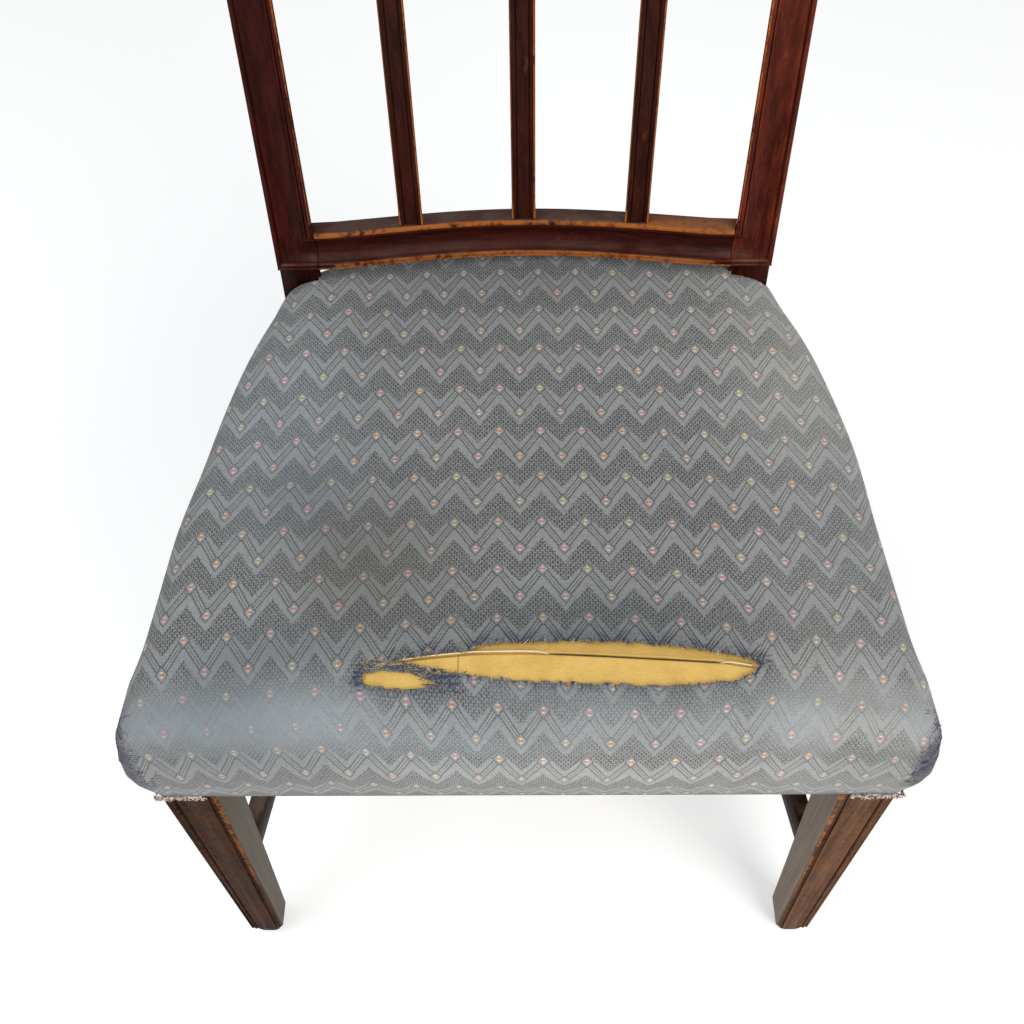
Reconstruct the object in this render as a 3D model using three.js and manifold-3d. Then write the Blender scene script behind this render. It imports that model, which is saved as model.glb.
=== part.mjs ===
// A mahogany dining chair with a moulded bar back and a stuffed-over seat.
// Units are millimetres, +Z is up, +Y runs to the back of the chair and +X to the right as seen from the front.
import * as THREE from "three";
import { mergeVertices } from "three/addons/utils/BufferGeometryUtils.js";
import Module from "manifold-3d";

const { lerp, smoothstep } = THREE.MathUtils;
const wasm = await Module();
wasm.setup();

// Overall frame
const frontWidth = 514;
const rearWidth = 393;
const chairHeight = 945;
const seatRailTop = 424;
const seatRailHeight = 74;
const railThickness = 24;
const postFront = 380;
const rakeStartRise = 6;
const backRake = THREE.MathUtils.degToRad(9.5);

// Clearances between neighbours, and how far a cutting tool runs past what it cuts
const fit = 0.3;
const softFit = 0.4;
const overrun = 12;

// Front legs
const legWidth = 40;
const frontFootWidth = 28;
const footChamfer = 2;
const legMouldingDepth = 2.4;
const legTopChamfer = 5;

// Rear posts
const postWidth = 33;
const postTopWidth = 28.5;
const postRear = 421;
const postTopDepth = 25;
const postFlare = 2.5;
const postRecess = 7;
const postEdgeChamfer = 2;
const rearFootSetback = 50;
const rearFootWidth = 30;

// Moulded frame of the back
const mouldingStopRise = 11;
const stopLip = 1;
const lowerRailFace = 30.5;
const lowerRailThickness = 21.5;
const crestThickness = 21;
const crestPeakFace = 45;
const crestEndFace = 36;
const crestHumpRise = 25;
const crestCornerRadius = 20;
const mouldingDepth = 6;
const backBow = 18;
const backEdgeChamfer = 2.5;

// Bars of the back
const barSpacing = 88.5;
const barSpread = 3.5;
const barWidth = 18.2;
const barFootWidth = 19.6;
const barFootHeight = 30;
const barThickness = 14;
const barSetIn = 3;
const barMouldingDepth = 2;
const barTenonThickness = 7;
const barTenonLength = 12;

// Mortise-and-tenon joints
const railTenonThickness = 10;
const railTenonLength = 18;
const rearTenonLength = 14;
const railTenonShoulder = 9;
const sideTenonInset = 14.5;
const backTenonThickness = 9;
const backTenonLength = 16;
const backTenonShoulder = 4;
const backTenonSetIn = 9;
const crestTenonLength = 20;
const crestTenonShoulder = 7;

// Stretchers
const stretcherTop = 147;
const stretcherHeight = 27.5;
const stretcherThickness = 14;
const stretcherLegOffset = 2;
const stretcherTenonThickness = 7;
const stretcherTenonLength = 12;
const stretcherTenonShoulder = 5;
const crossStretcherPlace = 200;
const crossTenonLength = 8;
const rearStretcherTop = 196;

// Back seat rail, corner blocks and their screws
const backRailSetIn = 1;
const blockArm = 56;
const blockHeight = 40;
const blockDrop = 14;
const screwHeadRadius = 4.2;
const screwHeadHeight = 3;
const screwShankRadius = 2.1;
const screwTipHeight = 5;
const screwLength = 32;
const screwWood = 17;
const counterboreRadius = 4.8;

// Webbing and hessian
const strapWidth = 50;
const strapThickness = 1.6;
const strapEndInset = 4;
const strapPostGap = 9.5;
const hessianThickness = 1.2;
const hessianInset = 5;

// Upholstery
const coverThickness = 1.8;
const coverRise = 0.5;
const seatWidestRise = 8;
const crownRise = 41;
const crownFrontRise = 8;
const crownDish = 1.5;
const crownSideDrop = 23;
const rearCornerRise = 10;
const sideBulge = 18;
const frontBulge = 3;
const cornerSwell = 7;
const cornerSwellLength = 85;
const rearBulge = 5;
const rollReach = 34;
const rearRollReach = 11;
const frontCornerRadius = 6;
const upperFrontCornerRadius = 14;
const rearCornerRadius = 62;
const lowerRearCornerRadius = 6;

// Tear in the cover, placed from the middle of the seat's front edge
const tearLength = 228;
const tearWidth = 29;
const tearCentreX = 33;
const tearCentreY = 39;
const smallTearLength = 47;
const smallTearWidth = 10;
const smallTearCentreX = -80;
const smallTearCentreY = 27;

// Leg moulding from the outer corner to the inner edge, as shares of the leg's width and of the moulding's depth
const legMouldingShares = [
  [0, 0.35], [0.03, 0.08], [0.07, 0], [0.13, 0], [0.16, 0.25], [0.175, 1], [0.195, 1],
  [0.21, 0.3], [0.29, 0.66], [0.38, 0.56], [0.45, 0.16], [0.5, 0.04], [0.55, 0.16],
  [0.62, 0.56], [0.71, 0.66], [0.79, 0.3], [0.805, 1], [0.825, 1], [0.84, 0.25],
  [0.87, 0], [0.93, 0], [0.97, 0.08], [1, 0.35],
];

// Back moulding from the frame's outer edge to its opening, as shares of the face and of the moulding's depth
const backMouldingShares = [
  [0, 0.17], [0.03, 0.07], [0.085, 0.07], [0.105, 0.18], [0.115, 0.5], [0.14, 0.52],
  [0.15, 0.28], [0.22, 0.46], [0.32, 0.78], [0.42, 0.94], [0.52, 1], [0.62, 0.92],
  [0.7, 0.72], [0.76, 0.48], [0.79, 0.3], [0.825, 0.26], [0.83, 0.58], [0.85, 0.58],
  [0.86, 0.2], [0.89, 0.08], [0.93, 0.07], [0.97, 0.12], [1, 0.3],
];

// Bar moulding across the bar's width, as shares of the width from its middle and of the moulding's depth
const barMouldingShares = [
  [-0.5, 0.5], [-0.47, 0.12], [-0.42, 0], [-0.34, 0], [-0.29, 0.2], [-0.275, 1], [-0.245, 1],
  [-0.23, 0.42], [-0.1, 0.6], [0.1, 0.6], [0.23, 0.42], [0.245, 1], [0.275, 1], [0.29, 0.2],
  [0.34, 0], [0.42, 0], [0.47, 0.12], [0.5, 0.5],
];

// Rise of the crest's hump and of the arch under it, at even steps from the middle to the end
const crestTopShares = [1, 0.93, 0.73, 0.43, 0.17, 0.03, 0, 0.04, 0.12];
const crestUnderShares = [1, 0.93, 0.73, 0.43, 0.17, 0.04, 0, 0, 0];

// Overhang of the stuffing along a side, at even steps from the front corner to the rear one
const sideBulgeShares = [0, 0.08, 0.36, 0.66, 0.86, 0.96, 0.82, 0.36, 0.02];

// Levels of the seat's wall: shares of the height up to the widest line, of the overhang and of the
// front corners' swelling
const seatWallShares = [[0, 0, 0], [0.35, 0.06, 0.6], [0.62, 0.25, 1], [0.84, 0.65, 1], [1, 1, 0.8]];
const rollTurnShares = [0.28, 0.55, 0.8, 1];
const seatTopShares = [0.76, 0.42];

// Where the rear edge's tighter roll starts and is full, as shares of the way round to straight back
const rearRollShares = [0.79, 0.9];

// Half outlines of the tears, as shares of their length and width
const tearShares = [
  [-0.5, 0.13], [-0.42, 0.26], [-0.28, 0.4], [-0.1, 0.48], [0.12, 0.5], [0.3, 0.42], [0.42, 0.28],
  [0.5, 0.13], [0.44, -0.2], [0.33, -0.42], [0.15, -0.5], [-0.08, -0.44], [-0.26, -0.3], [-0.4, -0.07],
];

// Counts
const sideSegments = 10;
const frontSegments = 9;
const rearSegments = 7;
const cornerSegments = 3;
const lowerLegSteps = 8;
const bowSteps = 10;
const crestSteps = 14;
const cornerSteps = 6;
const longStraps = 4;
const crossStraps = 3;
const screwSegments = 10;

// Levels and places worked out from the driving sizes
const frontHalf = frontWidth / 2;
const rearHalf = rearWidth / 2;
const seatRailBottom = seatRailTop - seatRailHeight;
const rakeStartHeight = seatRailTop + rakeStartRise;
const seatWidestHeight = seatRailTop + seatWidestRise;
const crownHeight = seatRailTop + crownRise;
const mouldingStopHeight = crownHeight + mouldingStopRise;
const seatPostFront = postFront + postRecess;
const legInner = frontHalf - legWidth;
const postInner = rearHalf - postWidth;
const backRailFront = postRear - backRailSetIn - railThickness;
const sideSlope = (frontHalf - rearHalf) / (seatPostFront - legWidth);
const sideTurn = Math.atan(sideSlope);
const sideRailSpan = railThickness / Math.cos(sideTurn);
const stopFace = faceHeight(mouldingStopHeight);
const lowerRailTopFace = stopFace + lowerRailFace;
const crestPeak = faceHeight(chairHeight + backBow * Math.sin(backRake));
const crestShoulder = crestPeak - crestHumpRise;
const crestJoint = crestShoulder - crestEndFace;
const crestArchRise = crestPeak - crestPeakFace - crestJoint;
const crestHalf = rearHalf + postFlare;
const crestInnerHalf = crestHalf - postTopWidth;
const lowerRailHalf = postInnerAt(stopFace);
const strapRest = seatRailTop + fit + strapThickness / 2;
const strapLift = (strapThickness + fit) / 2;
const hessianBottom = strapRest + strapLift + strapThickness / 2 + fit;
const padBottom = hessianBottom + hessianThickness + softFit;
const coverBottom = seatRailBottom + coverRise;
const coverOut = fit + coverThickness;

// Finishes
const mahogany = finish(0x4b2217, 0.42, 0);
const beech = finish(0xb48a5a, 0.7, 0);
const webbingFinish = finish(0x8d7a58, 0.95, 0);
const hessianFinish = finish(0xa88c5f, 0.95, 0);
const foamFinish = finish(0xd0a545, 0.9, 0);
const fabricFinish = finish(0x707c85, 0.85, 0);
const steelFinish = finish(0x8a8a88, 0.4, 1);

function finish(color, roughness, metalness) {
  return new THREE.MeshStandardMaterial({ color, roughness, metalness });
}

// Turns points and triangles into a solid, with its faces pointing out
function solidFromTriangles(points, triangles) {
  const a = new THREE.Vector3();
  const b = new THREE.Vector3();
  let volume = 0;
  for (const [i, j, k] of triangles) {
    a.copy(points[i]);
    b.copy(points[j]);
    volume += a.cross(b).dot(points[k]);
  }
  const facing = volume < 0 ? triangles.map(([i, j, k]) => [i, k, j]) : triangles;
  return new wasm.Manifold(
    new wasm.Mesh({
      numProp: 3,
      vertProperties: new Float32Array(points.flatMap((p) => [p.x, p.y, p.z])),
      triVerts: new Uint32Array(facing.flat()),
    }),
  );
}

// Turns a three.js geometry into a solid
function solidFromGeometry(geometry) {
  const bare = geometry.clone();
  bare.deleteAttribute("normal");
  bare.deleteAttribute("uv");
  const merged = mergeVertices(bare);
  return new wasm.Manifold(
    new wasm.Mesh({
      numProp: 3,
      vertProperties: merged.attributes.position.array,
      triVerts: new Uint32Array(merged.index.array),
    }),
  );
}

// Triangles that close an end section, following the section's own direction
function capTriangles(section) {
  const normal = new THREE.Vector3();
  section.forEach((p, i) => {
    normal.add(new THREE.Vector3().crossVectors(p, section[(i + 1) % section.length]));
  });
  const sizes = normal.toArray().map(Math.abs);
  const dropped = sizes.indexOf(Math.max(...sizes));
  const [u, v] = [[1, 2], [2, 0], [0, 1]][dropped];
  const flat = section.map((p) => new THREE.Vector2(p.getComponent(u), p.getComponent(v)));
  const turn = Math.sign(THREE.ShapeUtils.area(flat));
  return THREE.ShapeUtils.triangulateShape(flat, []).map((t) => {
    const same = Math.sign(THREE.ShapeUtils.area(t.map((i) => flat[i]))) === turn;
    return same ? t : [t[0], t[2], t[1]];
  });
}

// Joins sections with as many points each. The run's ends are flat caps, fans round their middles,
// or, on a ring, each other.
function loft(sections, ends = "flat") {
  const count = sections[0].length;
  const points = sections.flat();
  const triangles = [];
  const spans = ends === "ring" ? sections.length : sections.length - 1;
  for (let s = 0; s < spans; s++) {
    const here = s * count;
    const next = ((s + 1) % sections.length) * count;
    for (let i = 0; i < count; i++) {
      const j = (i + 1) % count;
      triangles.push([here + i, here + j, next + j]);
      triangles.push([here + i, next + j, next + i]);
    }
  }
  const last = (sections.length - 1) * count;
  if (ends === "flat") {
    capTriangles(sections[0]).forEach(([i, j, k]) => triangles.push([i, k, j]));
    capTriangles(sections.at(-1)).forEach((t) => triangles.push(t.map((i) => i + last)));
  }
  if (ends === "fan") {
    const middle = points.length;
    points.push(middleOf(sections[0]), middleOf(sections.at(-1)));
    for (let i = 0; i < count; i++) {
      const j = (i + 1) % count;
      triangles.push([middle, j, i], [middle + 1, last + i, last + j]);
    }
  }
  return solidFromTriangles(points, triangles);
}

function middleOf(points) {
  return new THREE.Box3().setFromPoints(points).getCenter(new THREE.Vector3());
}

// Upright prism on a plan outline of [x, y] points
function prism(outline, bottom, top) {
  return loft([bottom, top].map((z) => outline.map(([x, y]) => new THREE.Vector3(x, y, z))));
}

function block(x0, x1, y0, y1, z0, z1) {
  return prism([[x0, y0], [x1, y0], [x1, y1], [x0, y1]], z0, z1);
}

// Round rod between two places
function rod(from, to, radius) {
  const along = new THREE.Vector3().subVectors(to, from);
  const geometry = new THREE.CylinderGeometry(radius, radius, along.length(), screwSegments);
  const turn = new THREE.Quaternion().setFromUnitVectors(
    new THREE.Vector3(0, 1, 0),
    along.clone().normalize(),
  );
  const middle = new THREE.Vector3().addVectors(from, to).multiplyScalar(0.5);
  geometry.applyMatrix4(new THREE.Matrix4().compose(middle, turn, new THREE.Vector3(1, 1, 1)));
  return solidFromGeometry(geometry);
}

const join = (first, ...others) => others.reduce((sum, other) => sum.add(other), first);
const cut = (first, ...tools) => tools.reduce((left, tool) => left.subtract(tool), first);

function meshOf(name, solid, material) {
  const made = solid.getMesh();
  const geometry = new THREE.BufferGeometry();
  geometry.setAttribute("position", new THREE.BufferAttribute(made.vertProperties, made.numProp));
  geometry.setIndex(new THREE.BufferAttribute(made.triVerts, 1));
  const mesh = new THREE.Mesh(geometry, material);
  mesh.name = name;
  return mesh;
}

// Smooth value between evenly spaced shares, for a place from 0 to 1
function smoothAt(shares, place) {
  const last = shares.length - 1;
  const curve = new THREE.SplineCurve(shares.map((share, i) => new THREE.Vector2(i, share)));
  return curve.getPoint(Math.min(Math.max(place, 0), 1) * last / last).y;
}

// The back's own frame: x across, v up along the raked face from where the rake starts, w into the wood
function faceHeight(z) {
  return (z - rakeStartHeight) / Math.cos(backRake);
}

function facePoint(x, v, w) {
  return new THREE.Vector3(
    x,
    postFront + v * Math.sin(backRake) + w * Math.cos(backRake),
    rakeStartHeight + v * Math.cos(backRake) - w * Math.sin(backRake),
  );
}

function faceBlock(x0, x1, v0, v1, w0, w1) {
  return loft(
    [v0, v1].map((v) => [
      facePoint(x0, v, w0),
      facePoint(x1, v, w0),
      facePoint(x1, v, w1),
      facePoint(x0, v, w1),
    ]),
  );
}

// The back is hollowed across its width: this is how far the face lies behind the posts' plane
function bowAt(x) {
  const share = Math.min(Math.abs(x) / lowerRailHalf, 1);
  return backBow * (1 - share * share) ** 1.5;
}

// Outer face and width of a rear post, up the raked face
function postRise(v) {
  return Math.max(v, 0) / crestJoint;
}

function postOuterAt(v) {
  return rearHalf + postFlare * postRise(v);
}

function postWidthAt(v) {
  return lerp(postWidth, postTopWidth, postRise(v));
}

function postInnerAt(v) {
  return postOuterAt(v) - postWidthAt(v);
}

// Crest outline: its top edge with the hump and round ends, and the arch under it
function crestTopAt(x) {
  const place = Math.abs(x);
  const past = Math.max(place - (crestHalf - crestCornerRadius), 0);
  const drop = crestCornerRadius - Math.sqrt(Math.max(crestCornerRadius ** 2 - past ** 2, 0));
  return crestShoulder + crestHumpRise * smoothAt(crestTopShares, place / crestHalf) - drop;
}

function crestUnderAt(x) {
  return crestJoint + crestArchRise * smoothAt(crestUnderShares, Math.abs(x) / crestInnerHalf);
}

// Front legs

function frontLegWidthAt(z) {
  return lerp(frontFootWidth, legWidth, Math.min(z / seatRailBottom, 1));
}

// Section of a front leg: moulded on its front and outer faces, flat on the two inner ones
function frontLegSection(side, z, depth, inset) {
  const width = frontLegWidthAt(z) - 2 * inset;
  const point = (outX, inY) =>
    new THREE.Vector3(side * (frontHalf - inset - outX), inset + inY, z);
  const front = legMouldingShares.map(([s, d]) => point(s * width, d * depth));
  const outer = legMouldingShares.slice(1).map(([s, d]) => point(d * depth, s * width));
  return [...front, point(width, width), ...outer.reverse()];
}

// The moulding stops at the seat, and the block above it is plain with its outer corner taken off
function frontLeg(side) {
  const shaft = loft(
    [
      frontLegSection(side, 0, legMouldingDepth, footChamfer),
      frontLegSection(side, footChamfer, legMouldingDepth, 0),
      frontLegSection(side, seatRailBottom, legMouldingDepth, 0),
      frontLegSection(side, seatRailBottom + legMouldingDepth, 0, 0),
      frontLegSection(side, seatRailTop, 0, 0),
    ],
    "fan",
  );
  const corner = prism(
    [
      [side * (frontHalf - legTopChamfer - overrun), -overrun],
      [side * (frontHalf + overrun), -overrun],
      [side * (frontHalf + overrun), legTopChamfer + overrun],
    ],
    seatRailBottom,
    seatRailTop + overrun,
  );
  return cut(
    shaft,
    corner,
    frontRailTenon(side, fit),
    sideRailFrontTenon(side, fit),
    sideStretcherTenon(side, true, fit),
  );
}

// Rear posts

// Front face of the lower leg, which curves back to the foot
function lowerPostFront(z) {
  const share = 1 - z / seatRailBottom;
  return seatPostFront + rearFootSetback * Math.max(share, 0) ** 1.6;
}

function lowerPostWidthAt(z) {
  return lerp(rearFootWidth, postWidth, Math.min(z / seatRailBottom, 1));
}

function lowerPostDepthAt(z) {
  return lerp(rearFootWidth, postRear - seatPostFront, Math.min(z / seatRailBottom, 1));
}

// Four corners with the two rear ones chamfered
function postSection(toPoint, outer, inner, front, rear) {
  const c = postEdgeChamfer;
  return [
    toPoint(outer, front),
    toPoint(inner, front),
    toPoint(inner, rear - c),
    toPoint(inner + c, rear),
    toPoint(outer - c, rear),
    toPoint(outer, rear - c),
  ];
}

function rearPost(side) {
  const sections = [];
  for (let step = 0; step <= lowerLegSteps; step++) {
    const z = (seatRailBottom * step) / lowerLegSteps;
    const front = lowerPostFront(z);
    const toPoint = (x, y) => new THREE.Vector3(side * x, y, z);
    const inner = rearHalf - lowerPostWidthAt(z);
    sections.push(postSection(toPoint, rearHalf, inner, front, front + lowerPostDepthAt(z)));
  }
  const atSeat = (x, y) => new THREE.Vector3(side * x, y, seatRailTop);
  sections.push(postSection(atSeat, rearHalf, postInner, seatPostFront, postRear));
  const seatDepth = postRear - postFront;
  const raked = (v, front) => {
    const toPoint = (x, w) => facePoint(side * x, v, w);
    const rear = lerp(seatDepth, postTopDepth, postRise(v));
    sections.push(postSection(toPoint, postOuterAt(v), postInnerAt(v), front, rear));
  };
  raked(stopLip, postRecess);
  raked(stopFace - 2 * stopLip, postRecess);
  raked(stopFace - stopLip, 0);
  raked(crestJoint, 0);
  return cut(
    join(loft(sections), crestTenon(side, 0)),
    mouldingTool(),
    sideRailRearTenon(side, fit),
    backRailTenon(side, fit),
    lowerRailTenon(side, fit),
    sideStretcherTenon(side, false, fit),
    rearStretcherTenon(side, fit),
  );
}

// Moulded frame of the back

// Pairs of places on the frame's outer edge and on its opening, round the right half from the crest's middle
function mouldingStations() {
  const stations = [];
  const add = (outer, inner, outward, inward) => stations.push({ outer, inner, outward, inward });
  const none = [0, 0];
  for (let step = 0; step <= crestSteps; step++) {
    const x = (crestInnerHalf * step) / crestSteps;
    add([x, crestTopAt(x)], [x, crestUnderAt(x)], [0, overrun], [0, -overrun]);
  }
  const corner = [crestInnerHalf - fit, crestJoint - fit];
  const diagonal = [-overrun, -overrun];
  for (let step = 0; step <= cornerSteps; step++) {
    const turn = (Math.PI / 2) * (step / cornerSteps);
    const x = crestHalf - crestCornerRadius * (1 - Math.sin(turn));
    const outward = [overrun * Math.sin(turn), overrun * Math.cos(turn)];
    add([x, crestTopAt(x)], corner, outward, diagonal);
  }
  add([crestHalf, crestJoint], corner, [overrun, 0], diagonal);
  const stopCorner = [postOuterAt(stopFace), stopFace];
  const openingCorner = [postInnerAt(lowerRailTopFace), lowerRailTopFace];
  add(stopCorner, openingCorner, [overrun, 0], [-overrun, overrun]);
  for (let step = bowSteps - 1; step >= 0; step--) {
    const x = (lowerRailHalf * step) / bowSteps;
    add([x, stopFace], [x, lowerRailTopFace], none, [0, overrun]);
  }
  return stations;
}

// What the moulding plane takes away, as one ring with mitred corners
function mouldingTool() {
  const right = mouldingStations();
  const mirrored = right.slice(1, -1).reverse().map((station) => {
    const flip = ([x, v]) => [-x, v];
    return {
      outer: flip(station.outer),
      inner: flip(station.inner),
      outward: flip(station.outward),
      inward: flip(station.inward),
    };
  });
  const sections = [...right, ...mirrored].map(({ outer, inner, outward, inward }) => {
    const at = (base, shift, depth) =>
      facePoint(base[0] + shift[0], base[1] + shift[1], bowAt(base[0]) + depth);
    const profile = backMouldingShares.map(([s, d]) => {
      const base = [lerp(outer[0], inner[0], s), lerp(outer[1], inner[1], s)];
      return at(base, [0, 0], d * mouldingDepth);
    });
    const firstDepth = backMouldingShares[0][1] * mouldingDepth;
    const lastDepth = backMouldingShares.at(-1)[1] * mouldingDepth;
    return [
      at(outer, outward, -overrun),
      at(outer, outward, firstDepth),
      ...profile,
      at(inner, inward, lastDepth),
      at(inner, inward, -overrun),
    ];
  });
  return loft(sections, "ring");
}

// Section of a bowed rail: flat front, two chamfered rear edges
function bowedSection(x, low, high, thickness) {
  const w = bowAt(x);
  const c = backEdgeChamfer;
  return [
    facePoint(x, low, w),
    facePoint(x, high, w),
    facePoint(x, high, w + thickness - c),
    facePoint(x, high - c, w + thickness),
    facePoint(x, low + c, w + thickness),
    facePoint(x, low, w + thickness - c),
  ];
}

// Places across a bowed piece, from its left end to its right one
function acrossPlaces(half, steps) {
  const places = [];
  for (let step = -steps; step <= steps; step++) places.push((half * step) / steps);
  return places;
}

function lowerRailTenon(side, grow) {
  return faceBlock(
    side * (postInner + backTenonLength + grow),
    side * (postInner - backTenonLength / 2),
    stopFace + backTenonShoulder - grow,
    lowerRailTopFace - backTenonShoulder + grow,
    backTenonSetIn - grow,
    backTenonSetIn + backTenonThickness + grow,
  );
}

function lowerBackRail() {
  const bottom = stopFace - stopLip;
  const end = postInnerAt(bottom) - fit;
  const body = loft(
    acrossPlaces(end, bowSteps).map((x) =>
      bowedSection(x, bottom, lowerRailTopFace, lowerRailThickness),
    ),
  );
  const tenons = [-1, 1].map((side) => lowerRailTenon(side, 0));
  const mortises = barPlaces.map((place) => barTenon(place, false, fit));
  return cut(join(cut(body, mouldingTool()), ...tenons), ...mortises);
}

function crestTenon(side, grow) {
  const outer = crestHalf - crestTenonShoulder;
  const inner = crestInnerHalf + crestTenonShoulder;
  return faceBlock(
    side * (outer + grow),
    side * (inner - grow),
    crestJoint - crestTenonShoulder,
    crestJoint + crestTenonLength + grow,
    backTenonSetIn - grow,
    backTenonSetIn + backTenonThickness + grow,
  );
}

function crestRail() {
  const arch = acrossPlaces(crestInnerHalf, crestSteps);
  const ends = [];
  for (let step = 1; step <= cornerSteps; step++) {
    const turn = (Math.PI / 2) * (step / cornerSteps);
    ends.push(crestHalf - crestCornerRadius * (1 - Math.sin(turn)));
  }
  const places = [...ends.map((x) => -x).reverse(), ...arch, ...ends];
  const body = loft(
    places.map((x) => bowedSection(x, crestUnderAt(x) + fit, crestTopAt(x), crestThickness)),
  );
  const postMortises = [-1, 1].map((side) => crestTenon(side, fit));
  const barMortises = barPlaces.map((place) => barTenon(place, true, fit));
  return cut(body, mouldingTool(), ...postMortises, ...barMortises);
}

// Bars of the back

const barPlaces = [
  ["splat_bar_left", -1],
  ["splat_bar_centre", 0],
  ["splat_bar_right", 1],
].map(([name, place]) => ({ name, place }));

function barCentreAt(place, v) {
  const share = (v - lowerRailTopFace) / (crestJoint - lowerRailTopFace);
  return place * (barSpacing + barSpread * share);
}

// How far the bar's front lies behind the posts' plane: it follows the bow at the bar's foot
function barFront(place) {
  return bowAt(place * barSpacing) + barSetIn;
}

function barTenon({ place }, atTop, grow) {
  const v = atTop ? crestJoint + crestArchRise : lowerRailTopFace;
  const x = barCentreAt(place, v);
  const half = barWidth / 2 - backEdgeChamfer + grow;
  const under = crestUnderAt(x);
  const [low, high] = atTop
    ? [under - barTenonLength, under + barTenonLength + grow]
    : [lowerRailTopFace - barTenonLength - grow, lowerRailTopFace + barTenonLength];
  const front = barFront(place) + (barThickness - barTenonThickness) / 2;
  return faceBlock(x - half, x + half, low, high, front - grow, front + barTenonThickness + grow);
}

function bar(placed) {
  const { place } = placed;
  const front = barFront(place);
  const rear = front + barThickness;
  const foot = lowerRailTopFace + fit;
  const section = (v, width) => {
    const centre = barCentreAt(place, v);
    const toPoint = (share, w) => {
      const x = centre + share * width;
      const height = v > foot + barFootHeight ? crestUnderAt(x) : v;
      return facePoint(x, height, w);
    };
    const c = backEdgeChamfer;
    const half = barMouldingShares.at(-1)[0];
    return [
      ...barMouldingShares.map(([s, d]) => toPoint(s, front + d * barMouldingDepth)),
      toPoint(half, rear - c),
      toPoint(half - c / width, rear),
      toPoint(c / width - half, rear),
      toPoint(-half, rear - c),
    ];
  };
  const shaft = loft([
    section(foot, barFootWidth),
    section(foot + barFootHeight / 2, lerp(barFootWidth, barWidth, 0.8)),
    section(foot + barFootHeight, barWidth),
    section(crestJoint + crestArchRise, barWidth),
  ]);
  return join(shaft, barTenon(placed, false, 0), barTenon(placed, true, 0));
}

// Seat rails

const tenonLow = seatRailBottom + railTenonShoulder;
const tenonHigh = seatRailTop - railTenonShoulder;

// Outer face of a side rail in plan: it runs from the front leg's outer face to the post's
function sideOuterAt(y) {
  return frontHalf - sideSlope * (y - legWidth);
}

// The seat frame's side, with the front leg's straight outer face
function frameSideAt(y) {
  return Math.min(sideOuterAt(y), frontHalf);
}

function sideInnerAt(y) {
  return sideOuterAt(y) - sideRailSpan;
}

function frontRailTenon(side, grow) {
  const centre = railThickness / 2;
  const half = railTenonThickness / 2 + grow;
  return block(
    side * (legInner - railTenonLength / 2),
    side * (legInner + railTenonLength + grow),
    centre - half,
    centre + half,
    tenonLow - grow,
    tenonHigh + grow,
  );
}

function frontSeatRail() {
  const end = legInner - fit;
  const body = block(-end, end, 0, railThickness, seatRailBottom, seatRailTop);
  const tenons = [-1, 1].map((side) => frontRailTenon(side, 0));
  return cut(join(body, ...tenons), ...blockScrewHoles("front_rail"));
}

// Tenon of a side rail, lined up with the rail and set in from its outer face
function sideRailTenon(side, y0, y1, grow) {
  const half = (railTenonThickness / 2 + grow) / Math.cos(sideTurn);
  const centreAt = (y) => sideOuterAt(y) - sideTenonInset / Math.cos(sideTurn);
  const corner = (y, shift) => [side * (centreAt(y) + shift), y];
  return prism(
    [corner(y0, -half), corner(y1, -half), corner(y1, half), corner(y0, half)],
    tenonLow - grow,
    tenonHigh + grow,
  );
}

function sideRailFrontTenon(side, grow) {
  const y = legWidth;
  return sideRailTenon(side, y - railTenonLength - grow, y + railTenonLength / 2, grow);
}

function sideRailRearTenon(side, grow) {
  const y = seatPostFront;
  return sideRailTenon(side, y - rearTenonLength / 2, y + rearTenonLength + grow, grow);
}

function sideSeatRail(side) {
  const front = legWidth + fit;
  const rear = seatPostFront - fit;
  const body = prism(
    [
      [side * sideOuterAt(front), front],
      [side * sideOuterAt(rear), rear],
      [side * sideInnerAt(rear), rear],
      [side * sideInnerAt(front), front],
    ],
    seatRailBottom,
    seatRailTop,
  );
  return cut(
    join(body, sideRailFrontTenon(side, 0), sideRailRearTenon(side, 0)),
    ...blockScrewHoles("side_rail"),
  );
}

function backRailTenon(side, grow) {
  const centre = backRailFront + railThickness / 2;
  const half = railTenonThickness / 2 + grow;
  return block(
    side * (postInner - rearTenonLength / 2),
    side * (postInner + rearTenonLength + grow),
    centre - half,
    centre + half,
    tenonLow - grow,
    tenonHigh + grow,
  );
}

function backSeatRail() {
  const end = postInner - fit;
  const rear = backRailFront + railThickness;
  const body = block(-end, end, backRailFront, rear, seatRailBottom, seatRailTop);
  const tenons = [-1, 1].map((side) => backRailTenon(side, 0));
  return cut(join(body, ...tenons), ...blockScrewHoles("back_rail"));
}

// Corner blocks and their screws

const blockTop = seatRailTop - blockDrop;
const blockBottom = blockTop - blockHeight;
const blockMiddle = (blockTop + blockBottom) / 2;

// Plan outline of a block: it clips round the leg or the post and lies along both rails
function blockOutline(side, isFront) {
  const seam = fit / Math.cos(sideTurn);
  const turn = isFront ? 1 : -1;
  const railFace = isFront ? railThickness + fit : backRailFront - fit;
  const cornerX = (isFront ? legInner : postInner) - fit;
  const cornerY = isFront ? legWidth + fit : seatPostFront - fit;
  const armY = cornerY + turn * blockArm;
  return [
    [cornerX - blockArm, railFace],
    [cornerX, railFace],
    [cornerX, cornerY],
    [sideInnerAt(cornerY) - seam, cornerY],
    [sideInnerAt(armY) - seam, armY],
  ].map(([x, y]) => [side * x, y]);
}

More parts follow.
